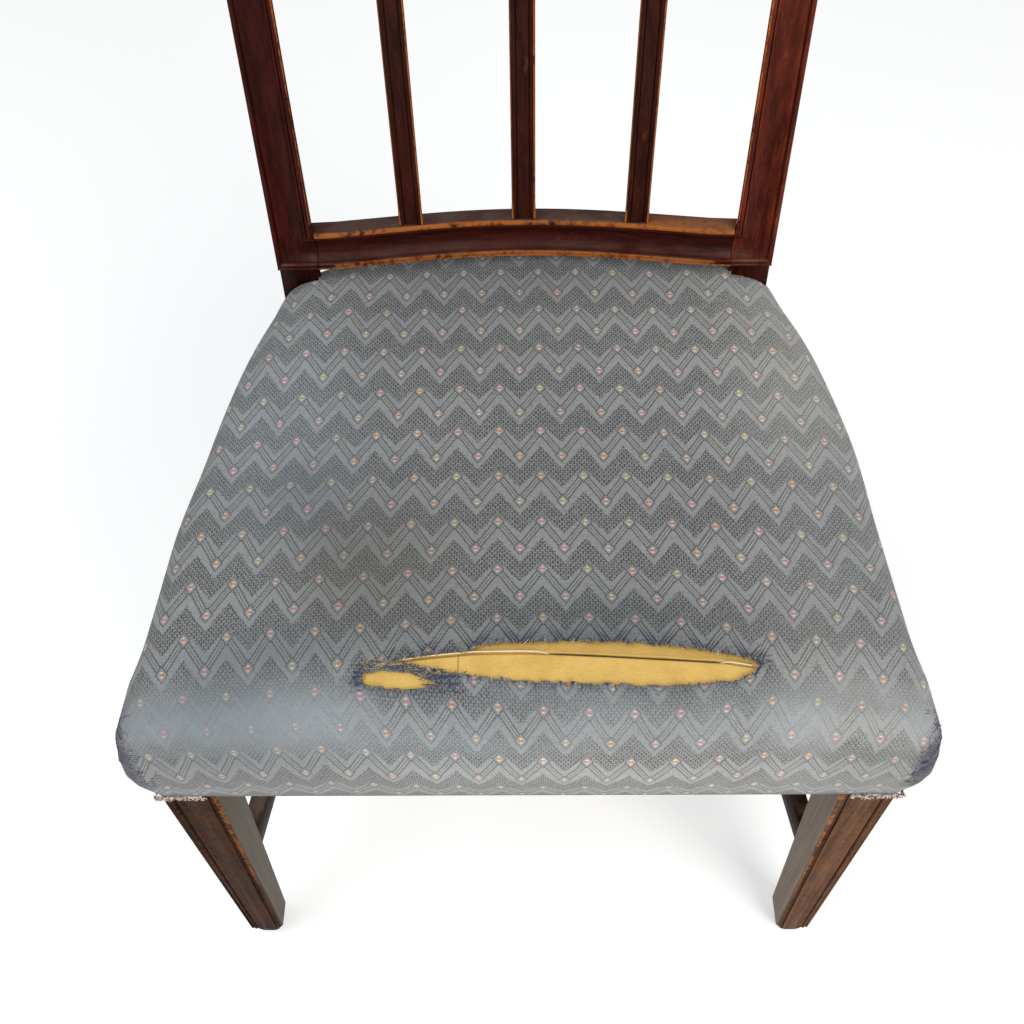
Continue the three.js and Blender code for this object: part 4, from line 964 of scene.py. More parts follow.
@dataclass
class MouldedBack(Timber):
    """A moulded piece of the back: crests near its face, and a hollow behind them."""

    ease: float = 0.3 * MM
    sharp: float = 50.0
    crest_depth: float = 0.9 * MM
    hollow_depth: float = 2.6 * MM
    full_depth: float = 6 * MM
    bowed: bool = False
    shallow: bool = False
    splay: float = 0.0
    splay_root: float = 2 * MM
    splay_depth: float = 8 * MM
    splay_stop: Pair = (0.1 * MM, 0.9 * MM)
    crest_stop: Pair = (1 * MM, 190 * MM)
    crest_step: float = 3 * MM
    post_stop: Pair = (424 * MM, 434 * MM)
    rail_face: float = 31.5 * MM
    post_face: float = 32.5 * MM
    post_taper: float = 0.0096
    post_back: float = 20 * MM
    bead: float = 2.8 * MM
    rail_end: Pair = (162 * MM, 168 * MM)
    rail_stop: Pair = (165 * MM, 168 * MM)
    edge_share: float = 0.3

    @cached_property
    def rail_top(self) -> float:
        """How high the lower rail's top lies, along the rake."""
        up = BACK.up()
        return max(v.co.dot(up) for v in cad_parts["lower_back_rail"].data.vertices)

    @cached_property
    def face(self) -> float:
        """How far back the piece's face lies, across the rake."""
        into = BACK.into()
        return min(v.co.dot(into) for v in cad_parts[self.node].data.vertices)

    def shape_up(self, shape: Shape) -> None:
        """Splays the sides back behind the moulding, from the lower rail to the crest."""
        up, low, high = BACK.up(), self.rail_top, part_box("crest_rail")[0].z
        if self.node == "lower_back_rail":
            for vert in shape.verts:
                depth = BACK.depth(vert.co)
                if self.rail_end[0] < abs(vert.co.x) < self.rail_end[1] and depth > self.splay_depth:
                    vert.co.x += math.copysign(self.splay * (depth - self.splay_root), vert.co.x)
        if self.node in ("lower_back_rail", "crest_rail"):
            return
        near, far = self.splay_stop
        end, start = self.crest_stop
        level = Vector((0, 0, 1))
        cuts = [(up * (low + near), up), (up * (low + far), up), (up * (low + 10 * MM), up)]
        cuts += [(level * (high - start), level), (level * (high - end), level)]
        if not self.bowed:
            cuts += [(level * z, level) for z in self.post_stop]
        for place, normal in cuts:
            cut(shape, place, normal)
        middle = (self.box[0].x + self.box[1].x) / 2
        for vert in shape.verts:
            depth = BACK.depth(vert.co) - (BACK.bowed(vert.co.x) if self.bowed else 0.0)
            share = 1 - min(max((vert.co.z - high + start) / (start - end), 0.0), 1.0)
            if depth > self.post_back and not self.bowed and vert.co.z < high + end:
                vert.co -= self.crest_step * (1 - share) * BACK.into()
            if self.bowed:
                share *= smooth(vert.co.dot(up), low + near, low + far)
                side = 1.0 if vert.co.x < middle else -1.0
            else:
                share *= smooth(vert.co.z, *self.post_stop)
                side = -1.0 if vert.co.x < 0 else 1.0
            outer = not self.bowed and abs(vert.co.x) > BACK.inner(vert.co.z) + self.bead
            if depth > self.splay_depth and not outer:
                vert.co.x += side * share * self.splay * (depth - self.splay_root)

    @cached_property
    def ends(self) -> list[tuple[float, float, float]]:
        """A bar's height, middle and half width near its foot and near its top."""
        found = []
        for low, high in ((0.51, 0.525), (0.885, 1.0)):
            near = [v.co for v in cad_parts[self.node].data.vertices if low < v.co.z < high]
            left, right = min(co.x for co in near), max(co.x for co in near)
            found.append((sum(co.z for co in near) / len(near), (left + right) / 2, (right - left) / 2))
        return found

    def rim(self, place: Vector) -> float:
        """Returns how strongly the handling has worn a place across the piece."""
        rise = place.dot(BACK.up()) - self.rail_top
        if self.shallow:
            (low, start, wide), (high, end, narrow) = self.ends
            share = min(max((place.z - low) / (high - low), 0.0), 1.0)
            gap = lerp(wide, narrow, share) - abs(place.x - lerp(start, end, share))
            return 1 - smooth(gap, 1.1 * MM, 1.9 * MM)
        if self.bowed:
            edge = rise > -5.5 * MM or rise < 4.5 * MM - self.rail_face or self.node == "crest_rail"
            return 1 - smooth(abs(place.x), *self.rail_stop) if edge else 0.0
        away = abs(place.x) - BACK.inner(place.z)
        wide = self.post_face - self.post_taper * (place.z - 475 * MM)
        inner = (1 - smooth(away, 1.4 * MM, 3.4 * MM)) * smooth(rise, 1 * MM, 9.5 * MM)
        return max(inner, 0.92 * smooth(away, wide - 1.2 * MM, wide - 0.4 * MM))

    def mark(self, place: Vector) -> Pair:
        """Reads crest and hollow from the depth behind the moulded face."""
        depth = BACK.depth(place)
        rise = place.dot(BACK.up()) - self.rail_top
        if self.bowed:
            depth -= BACK.bowed(place.x)
        elif rise < 0.6 * MM - self.rail_face:
            # Below the lower rail the post gets a painted shadow, through a fixed hollow value.
            return 0.0, 0.75
        if self.node == "lower_back_rail" and rise > -0.7 * MM:
            front = 0.93 * (1 - smooth(depth, 2.4 * MM, 4 * MM))
            return max(front, 0.88 * smooth(place.x, 40 * MM, 100 * MM)), 0.0
        if depth > self.full_depth * 1.4:
            return 0.0, 0.0
        if self.shallow:
            behind = place.dot(BACK.into()) - self.face
            return (1 - smooth(behind, 0.7 * MM, 1.5 * MM)) * self.rim(place), 0.12
        crest = (1 - smooth(depth, self.crest_depth, 2 * self.crest_depth)) * self.rim(place)
        # Deeper in the cove the colour darkens: dirt, and painted shade in the recess.
        return crest, smooth(depth, self.hollow_depth, self.full_depth) * 0.3


@dataclass
class MouldedLeg(Timber):
    """A front leg: crests on its moulded faces and at its corners."""

    ease: float = 0.4 * MM
    sharp: float = 50.0
    moulding: float = 2.4 * MM
    foot: float = 28 * MM
    flare: float = 12 * MM
    worn_height: float = 18 * MM
    worn_radii: Pair = (1.2 * MM, 10 * MM)
    worn_inset: float = 2.4 * MM
    worn_rows: tuple[float, ...] = (0.06, 0.16, 0.32, 0.55, 1.0)
    worn_columns: tuple[float, ...] = (1.6 * MM, 3.6 * MM, 6.2 * MM, 9.4 * MM)
    taper: float = 3.2 * MM
    edge_share: float = 0.2

    def inner(self, place: Vector) -> float:
        """Returns how far a place stands out from the leg's inner side."""
        wide = self.foot + self.flare * min(place.z / (350 * MM), 1.0)
        return abs(place.x) - (abs(self.box[0 if place.x < 0 else 1].x) - wide)

    def shape_up(self, shape: Shape) -> None:
        """Rounds the foot, whose corners have worn away."""
        level = Vector((0, 0, 1))
        for share in self.worn_rows:
            cut(shape, level * share * self.worn_height, level)
        foot = [v.co.copy() for v in shape.verts if v.co.z < 0.01 * MM]
        ends = [(min(co[i] for co in foot), max(co[i] for co in foot)) for i in (0, 1)]
        for axis, (start, end) in enumerate(ends):
            for inset in self.worn_columns:
                for edge in (start + inset, end - inset):
                    top = self.worn_height + 0.1 * MM
                    near = [f for f in shape.faces if max(v.co.z for v in f.verts) < top]
                    place, normal = Vector(), Vector()
                    place[axis], normal[axis] = edge, 1.0
                    cut(shape, place, normal, near)
        centre = Vector([(start + end) / 2 for start, end in ends])
        half = Vector([(end - start) / 2 for start, end in ends])
        for vert in shape.verts:
            low = 1 - vert.co.z / self.worn_height
            if low <= 0:
                continue
            radius = lerp(*self.worn_radii, low)
            place = Vector((vert.co.x, vert.co.y)) - centre
            for i in (0, 1):
                if half[i] - abs(place[i]) < self.taper:
                    full = lerp(abs(place[i]), half[i], smooth(low, 0.1, 0.7))
                    place[i] = math.copysign(full, place[i])
            over = Vector([abs(place[i]) - (half[i] - radius) for i in (0, 1)])
            if min(over) > 0 and over.length > radius:
                over *= radius / over.length
                place = Vector([math.copysign(half[i] - radius + over[i], place[i]) for i in (0, 1)])
            place *= 1 - self.worn_inset * low**5 / min(half)
            vert.co.x, vert.co.y = centre + place
        low = [v for v in shape.verts if v.co.z < self.worn_height]
        bmesh.ops.remove_doubles(shape, verts=low, dist=0.02 * MM)

    def mark(self, place: Vector) -> Pair:
        """Reads crest and hollow from the depth behind the two moulded faces."""
        reach = abs(self.box[0 if place.x < 0 else 1].x)
        front = place.y - LEG_FRONT
        depth = min(front, reach - abs(place.x))
        if depth > self.moulding * 1.3:
            return 0.0, 0.0
        rim = 1 - smooth(self.inner(place), 3.5 * MM, 5 * MM) if front < 2 * MM else 0.0
        crest = max(rim * (1 - smooth(depth, 0.6 * MM, 1.5 * MM)), 0.85 if place.x > 0 else 0.84)
        # Deeper in the moulding the colour darkens: dirt, and painted shade in the recess.
        return crest, smooth(depth, 0.5 * MM, self.moulding) * 0.5

    def pale(self, place: Vector) -> float:
        """Returns the painted sheen, which greys the inner side where it would reflect the white
        surroundings.
        """
        return 1 - smooth(self.inner(place), 0.2 * MM, 0.6 * MM)


@dataclass
class ChairFrame:
    """All the timber of the chair, piece by piece."""

    bars: tuple[str, ...] = ("splat_bar_left", "splat_bar_centre", "splat_bar_right")
    rails: tuple[str, ...] = ("lower_back_rail", "crest_rail")
    stretchers: tuple[str, ...] = ("cross_stretcher", "back_stretcher")
    hidden: tuple[str, ...] = ("front_seat_rail", "back_seat_rail")
    hidden_pairs: tuple[str, ...] = ("side_seat_rail", "front_corner_block", "rear_corner_block")

    def pair(self, name: str) -> tuple[str, str]:
        """Returns the left and the right node of a name."""
        return name + "_left", name + "_right"

    def timbers(self) -> list[Timber]:
        """Returns every piece of timber with its finish."""
        upright = Mahogany("mahogany_upright", run=Run.UP, wear=0.55)
        # The right post's copy is painted lighter, as if lit from the right front.
        painted_lit_post = Mahogany(
            "mahogany_lighter", Run.UP, rgb(74, 26, 17), rgb(116, 48, 30), rgb(136, 66, 40), wear=0.6
        )
        bar = Mahogany("mahogany_bar", dark=rgb(40, 16, 12), middle=rgb(70, 30, 20), wear=0.75)
        level = Mahogany("mahogany_level", run=Run.ACROSS, wear=0.62, dust=0.4, film=rgb(96, 88, 74))
        deep = Mahogany(
            "mahogany_deep", Run.DEEP, rgb(30, 20, 16), rgb(52, 36, 30), rgb(76, 54, 42),
            wear=0.35, gloss=0.02,
        )
        # The left leg is a painted shaded copy and the right leg a painted lit copy, as the light falls
        # from the right front.
        painted_shaded_leg = Mahogany(
            "mahogany_leg", Run.UP, rgb(38, 25, 20), rgb(66, 46, 36), rgb(90, 64, 48),
            film=rgb(126, 116, 104), gloss=0.004,
        )
        painted_lit_leg = Mahogany(
            "mahogany_bleached", Run.UP, rgb(86, 56, 40), rgb(126, 88, 66), rgb(152, 118, 94),
            rubbed=rgb(186, 122, 66), dirt=rgb(40, 26, 20), film=rgb(168, 154, 138), gloss=0.004,
        )
        posts, legs = self.pair("rear_post"), self.pair("front_leg")
        listed: list[Timber] = [
            MouldedBack(name, finish, splay=0.25) for name, finish in zip(posts, (upright, painted_lit_post))
        ]
        listed += [MouldedBack(name, level, bowed=True, splay=0.25) for name in self.rails]
        listed += [MouldedBack(name, bar, bowed=True, shallow=True, splay=0.2) for name in self.bars]
        listed += [MouldedLeg(name, finish) for name, finish in zip(legs, (painted_shaded_leg, painted_lit_leg))]
        listed += [Timber(name, deep) for name in self.pair("side_stretcher")]
        listed += [Timber(name, level) for name in self.stretchers]
        across = Beech("beech_across")
        running = Beech("beech_deep", run=Run.DEEP)
        for name in (*self.hidden, *(one for both in map(self.pair, self.hidden_pairs) for one in both)):
            listed.append(Timber(name, running if "side" in name else across, Slot.BEECH))
        return listed

    def build(self) -> None:
        """Builds each piece of timber, and dresses the screws."""
        for timber in self.timbers():
            timber.build()
        steel = Steel("dull_steel").material()
        for name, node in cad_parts.items():
            if "screw" in name:
                for place in node.material_slots:
                    place.material = steel


@dataclass(frozen=True)
class SeatForm:
    """The stuffed seat's outer surface, measured from the middle of the legs' front face."""

    half: float = 257 * MM
    leg: float = 40 * MM
    slope: float = (257 - 196.5) / (387 - 40)
    rear: float = 421 * MM
    out: float = 2.1 * MM
    widest: float = 432 * MM
    crown: float = 465 * MM
    bottom: float = 350.5 * MM
    front_rise: float = 8 * MM
    dish: float = 1.5 * MM
    side_drop: float = 23 * MM
    corner_rise: float = 10 * MM
    side_bulge: float = 18 * MM
    front_bulge: float = 8 * MM
    rear_bulge: float = 5 * MM
    swell: float = 7 * MM
    swell_length: float = 85 * MM
    reach: float = 34 * MM
    rear_reach: float = 11 * MM
    front_radii: Pair = (6 * MM, 14 * MM)
    rear_radii: Pair = (6 * MM, 62 * MM)
    rear_left: Pair = (4.5 * MM, 7 * MM)
    bulge_shares: tuple[float, ...] = (0, 0.08, 0.36, 0.66, 0.86, 0.96, 0.82, 0.36, 0.02)
    wall_rises: tuple[float, ...] = (0, 0.35, 0.62, 0.84, 1)
    wall_bulges: tuple[float, ...] = (0, 0.06, 0.25, 0.65, 1)
    wall_swells: tuple[float, ...] = (0, 0.7, 1, 0.95, 0.7)
    lean: float = 4 * MM
    inset: float = 0.0

    def leaning(self, y: float) -> float:
        """Returns how far the stuffing has slipped to the right at a depth."""
        return self.lean * smooth(y, 0.15, 0.24) * (1 - smooth(y, 0.33, 0.4))

    def side_at(self, y: float, bulge: float, swell: float, front: float, rear: float) -> float:
        """Returns the half width of an outline at a depth.

        Args:
            y: The depth.
            bulge: Share of the stuffing's overhang.
            swell: Share of the front corners' swelling.
            front: Where the outline starts.
            rear: Where it ends.

        Returns:
            The distance from the middle.
        """
        share = (y - front) / (rear - front)
        frame_side = min(self.half - self.slope * (y - self.leg), self.half)
        corner = self.swell * swell * (1 - smooth(y - front, 0, self.swell_length))
        over = self.side_bulge * bulge * spline(list(self.bulge_shares), share)
        return frame_side + self.out - self.inset + over + corner

    def outline(self, a: float, b: float, bulge: float, swell: float) -> Vector:
        """Returns the outline's point for a point of the unit square's edge.

        Args:
            a: Place across, from -1 to 1.
            b: Place from the front, -1, to the rear, 1.
            bulge: Share of the stuffing's overhang.
            swell: Share of the front corners' swelling.

        Returns:
            The point in plan.
        """
        out = self.out - self.inset
        front = -out - self.front_bulge * swell
        rear = self.rear + out + self.rear_bulge * bulge
        near = lerp(*self.front_radii, bulge)
        far = lerp(*self.rear_radii, bulge)
        near_y, far_y = front + near, rear - far

        def wide(y: float) -> float:
            """Returns the half width at a depth."""
            return self.side_at(y, bulge, swell, front, rear)

        near_x, far_x = wide(near_y) - near, wide(far_y) - far
        turn = math.sqrt(0.5)
        side = -1.0 if a < 0 else 1.0
        if abs(b) >= abs(a):
            radius, centre_x, centre_y = (near, near_x, near_y) if b < 0 else (far, far_x, far_y)
            x = abs(a) * (centre_x + radius * turn)
            bend = math.sqrt(max(radius**2 - max(x - centre_x, 0.0) ** 2, 0.0))
            return self.pulled(side * x, centre_y - bend if b < 0 else centre_y + bend, bulge)
        y = lerp(near_y - near * turn, far_y + far * turn, (b + 1) / 2)
        if y < near_y:
            x = near_x + math.sqrt(max(near**2 - (near_y - y) ** 2, 0.0))
        elif y > far_y:
            before = wide(far_y - MM) - far
            left = max(1 - (y - far_y) / (far * turn), 0.0)
            x = far_x + math.sqrt(max(far**2 - (y - far_y) ** 2, 0.0))
            x += (far_x - before) / MM * (y - far_y) * left**2
        else:
            x = wide(y)
        return self.pulled(side * x, y, bulge)

    def pulled(self, x: float, y: float, bulge: float) -> Vector:
        """Returns an outline's point, drawn in where the left rear corner has sunk."""
        share = bulge * smooth(-x, 0.1, 0.19) * smooth(y, 0.33, 0.415)
        return Vector((x + self.rear_left[0] * share, y - self.rear_left[1] * share))

    def height(self, x: float, y: float) -> float:
        """Returns the height of the seat's top at a place."""
        across, along = x / self.half, y / self.rear
        front = self.front_rise * max(1 - 2 * along, 0.0) ** 1.5
        dish = self.dish * math.sin(math.pi * min(max(along, 0.0), 1.0))
        corner = smooth(abs(across), 0.4, 0.66)
        rise = self.corner_rise * corner * smooth(along, 0.6, 0.85)
        return self.crown + front - dish - self.side_drop * across**2 + rise - self.inset

    def turned(self, a: float, b: float, turn: float) -> Vector:
        """Returns a point of the rolled edge.

        Args:
            a: Place across on the unit square's edge.
            b: Place along on the unit square's edge.
            turn: 0 at the widest line, and a quarter turn at the top.

        Returns:
            The point.
        """
        rim = self.outline(a, b, 1.0, self.wall_swells[-1])
        middle = Vector((0.0, self.rear / 2))
        away = rim - middle
        reach = lerp(self.reach, self.rear_reach, smooth(away.y / away.length, 0.79, 0.9)) - self.inset
        edge = middle + away * (1 - reach / away.length)
        flat = middle + away * (1 - reach * (1 - math.cos(turn)) / away.length)
        top = self.height(edge.x, edge.y)
        return Vector((flat.x + self.leaning(flat.y), flat.y, lerp(self.widest, top, math.sin(turn))))

    def wall(self, a: float, b: float, z: float) -> Vector:
        """Returns a point of the seat's wall at a height."""
        rise = (z - self.bottom) / (self.widest - self.bottom)
        shares = []
        for values in (self.wall_bulges, self.wall_swells):
            place = next((i for i, r in enumerate(self.wall_rises) if rise <= r), 4) or 1
            low, high = self.wall_rises[place - 1], self.wall_rises[place]
            shares.append(lerp(values[place - 1], values[place], (rise - low) / (high - low)))
        flat = self.outline(a, b, *shares)
        return Vector((flat.x + self.leaning(flat.y) * shares[0], flat.y, z))

    def sheet(self, cells: int) -> tuple[Shape, dict]:
        """Returns the seat's top as a grid, with each vertex's point of the unit square."""
        shape = bmesh.new()
        bmesh.ops.create_grid(shape, x_segments=cells, y_segments=cells, size=1.0)
        square = {v: (v.co.x, v.co.y) for v in shape.verts}
        for vert, point in square.items():
            vert.co = self.top(*point)
        return shape, square

    def top(self, a: float, b: float) -> Vector:
        """Returns the point of the seat's top for a point of the unit square."""
        ring = max(abs(a), abs(b))
        if ring == 0:
            x, y = 0.0, self.rear / 2
        else:
            edge = self.turned(a / ring, b / ring, math.pi / 2)
            edge.x -= self.leaning(edge.y)
            x = edge.x * ring
            y = lerp(self.rear / 2, edge.y, ring)
        return Vector((x + self.leaning(y), y, self.height(x, y)))


@dataclass(frozen=True)
class Opening:
    """A ragged opening in the cover, by its rear and front lips in plan."""

    rear_lip: Line
    front_lip: Line
    ragged: float = 1.6 * MM
    rear_share: float = 0.55
    frayed: Pair = (0.3 * MM, 7.5 * MM)

    def span(self) -> Pair:
        """Returns where the opening starts and ends across the seat."""
        return self.rear_lip[0][0] * MM, self.rear_lip[-1][0] * MM

    def lips(self, x: float) -> Pair:
        """Returns the depths of the front and rear lips at a place across."""
        place = x / MM
        values = []
        for line, seed in ((self.front_lip, 3.7), (self.rear_lip, 9.1)):
            y = polyline(line, place) * MM
            broad = noise.noise(Vector((place / 4.2, seed, 0.0)))
            fine = noise.noise(Vector((place / 1.7, seed, 4.0)))
            values.append(y + (broad + 0.6 * fine) * self.ragged)
        return values[0], values[1]

    def beside(self, x: float, y: float) -> float:
        """Returns how near a place outside lies to the lips, from 0 to 1."""
        start, end = self.span()
        low, high = self.lips(min(max(x, start), end))
        away = max(low - y, (y - high) * self.rear_share, 0.0)
        return 1 - smooth(math.hypot(away, max(start - x, x - end, 0.0)), *self.frayed)

    def holds(self, x: float, y: float) -> bool:
        """Tells whether a place lies in the opening."""
        start, end = self.span()
        if not start < x < end:
            return False
        low, high = self.lips(x)
        return low < y < high


MAIN_TEAR = Opening(
    rear_lip=(
        (-83.5, 42), (-66, 44.8), (-46, 46.8), (-35, 47.6), (-31, 51.2), (-16.6, 52.8), (21.7, 54),
        (60, 54.2), (97.9, 51.6), (122.8, 48), (140, 45), (150.5, 41.4),
    ),
    front_lip=(
        (-83.5, 41.2), (-76.7, 39.6), (-63.7, 36.2), (-52.6, 32.4), (-32, 28.4), (-3.9, 24.8),
        (33.5, 23.2), (70.8, 22), (108.1, 23.4), (133.4, 28), (143, 34), (150.5, 41),
    ),
)
SMALL_TEAR = Opening(
    rear_lip=((-103.1, 33), (-91.9, 34.4), (-72.9, 32.4), (-54.5, 24)),
    front_lip=((-103.1, 26.0), (-101.4, 24.6), (-91.1, 21.1), (-72.4, 20.2), (-54.5, 22.6)),
    ragged=0.9 * MM,
    rear_share=1.0,
    frayed=(0.5 * MM, 8 * MM),
)


@dataclass(frozen=True)
class WovenRows:
    """Where the weave's rows of rosettes lie on the seat, where the torn cloth has slid.

    Each row has its place in the cloth, and its places along the seat at the columns, all in millimetres.
    """

    columns: tuple[float, ...] = (-200, -125, -85, -45, 0, 45, 90, 125, 155, 200)
    behind: tuple[tuple[float, tuple[float, ...]], ...] = (
        (190.0, (190, 190, 190, 190, 190, 190, 190, 190, 190, 190)),
        (149.1, (149.8, 149, 149.5, 149.3, 149.8, 149, 149.7, 148.9, 146, 145.5)),
        (126.1, (125.4, 125.6, 125, 127, 127.2, 127.5, 126, 124.5, 122.5, 121.8)),
        (108.2, (107.8, 106.5, 108, 109.5, 110, 110, 108, 106.5, 104.5, 102.8)),
        (85.3, (83.6, 84.3, 85.5, 87.5, 88.3, 88, 87.3, 85, 81, 78.5)),
        (67.3, (65.5, 65.9, 67.5, 70.5, 71.7, 71.5, 70.6, 67.6, 61.5, 60)),
    )
    before: tuple[tuple[float, tuple[float, ...]], ...] = (
        (44.4, (40, 40.3, 41, 27, 22, 20.5, 21, 25, 33, 34)),
        (26.5, (20.6, 20.7, 12.5, 10, 7, 4, 3.8, 8.2, 14.6, 14.2)),
        (3.5, (-2.7, -1.5, -8.8, -12, -15.8, -18.2, -18.6, -14, -8.5, -8.3)),
        (-14.4, (-21.8, -20, -29, -31.8, -38, -39.8, -39.6, -34.3, -28.6, -29.5)),
        (-37.3, (-53, -50, -58.5, -62, -66.5, -69.3, -69, -60, -53.5, -54.5)),
        (-55.2, (-73, -71, -80, -84, -86, -87, -87, -80.5, -75.5, -75)),
    )
    spread: Line = (
        (-100, 0.065), (-25, 0.072), (-2, 0.068), (20, 0.047), (40, 0.03), (62, 0.013), (80, 0.0),
    )

    def read(self, u: float, v: float, side: int) -> Pair:
        """Turns lengths along the seat's surface into places in the cloth.

        Args:
            u: Length across from the middle.
            v: Length along.
            side: 1 behind the tear, -1 before it, and 0 beside it.

        Returns:
            The place in the cloth.
        """
        rows = {1: self.behind, -1: self.before, 0: self.behind + self.before}[side]
        deep = v / MM
        points = [
            (polyline(tuple(zip(self.columns, places)), u / MM), true) for true, places in rows
        ]
        wide = 1 + polyline(self.spread, deep)
        if deep >= points[0][0]:
            slip = 0.0 if side >= 0 else points[0][1] - points[0][0]
            return u * wide, (deep + slip) * MM
        if deep <= points[-1][0]:
            return u * wide, (deep + points[-1][1] - points[-1][0]) * MM
        for (high, true_high), (low, true_low) in zip(points, points[1:]):
            if deep >= low:
                break
        share = (deep - low) / (high - low)
        return u * wide, lerp(true_low, true_high, share) * MM


@dataclass(frozen=True)
class StainAndLightSpot:
    """A soft spot of the seat's cloth, in millimetres along its surface: stains darken or clean it, and
    painted light brightens, warms and cools it.
    """

    across: float
    along: float
    wide: float
    long: float
    tone: float
    cool: float = 0.0
    warm: float = 0.0

    def share(self, x: float, y: float) -> float:
        """Returns how much of the spot a place has."""
        away = ((x - self.across) / self.wide) ** 2 + ((y - self.along) / self.long) ** 2
        return math.exp(-away)


# Spots that brighten and warm the right side and the front wall are painted light from the right front;
# the cool spots on the left are painted cool light; darker spots darken the cloth.
STAIN_AND_LIGHT_SPOTS = (
    StainAndLightSpot(-20, 400, 130, 50, -0.24),
    StainAndLightSpot(150, 380, 60, 60, 0.1, warm=0.2),
    StainAndLightSpot(205, 300, 50, 100, 0.25, warm=0.6),
    StainAndLightSpot(120, 280, 50, 50, 0.08),
    StainAndLightSpot(-175, 250, 60, 120, 0.03, cool=0.7),
    StainAndLightSpot(-110, 120, 60, 55, -0.38, warm=0.6),
    StainAndLightSpot(-60, 300, 150, 70, -0.07),
    StainAndLightSpot(-150, 180, 60, 40, -0.14, cool=0.3),
    StainAndLightSpot(30, 160, 120, 60, -0.1),
    StainAndLightSpot(40, 68, 130, 26, -0.34, cool=0.25),
    StainAndLightSpot(20, 14, 120, 9, -0.16, cool=0.2),
    StainAndLightSpot(-165, 52, 60, 20, -0.2, cool=0.6),
    StainAndLightSpot(-190, 5, 60, 32, -0.1, cool=0.9),
    StainAndLightSpot(-200, -45, 70, 40, -0.2, cool=0.3),
    StainAndLightSpot(220, -35, 60, 28, -0.14),
    StainAndLightSpot(-60, -20, 80, 30, 0.05, cool=0.5),
    StainAndLightSpot(70, -60, 190, 45, 0.5, warm=0.35),
    StainAndLightSpot(215, 5, 60, 40, 0.32, warm=0.5),
    StainAndLightSpot(180, 60, 50, 40, 0.05, warm=0.3),
)


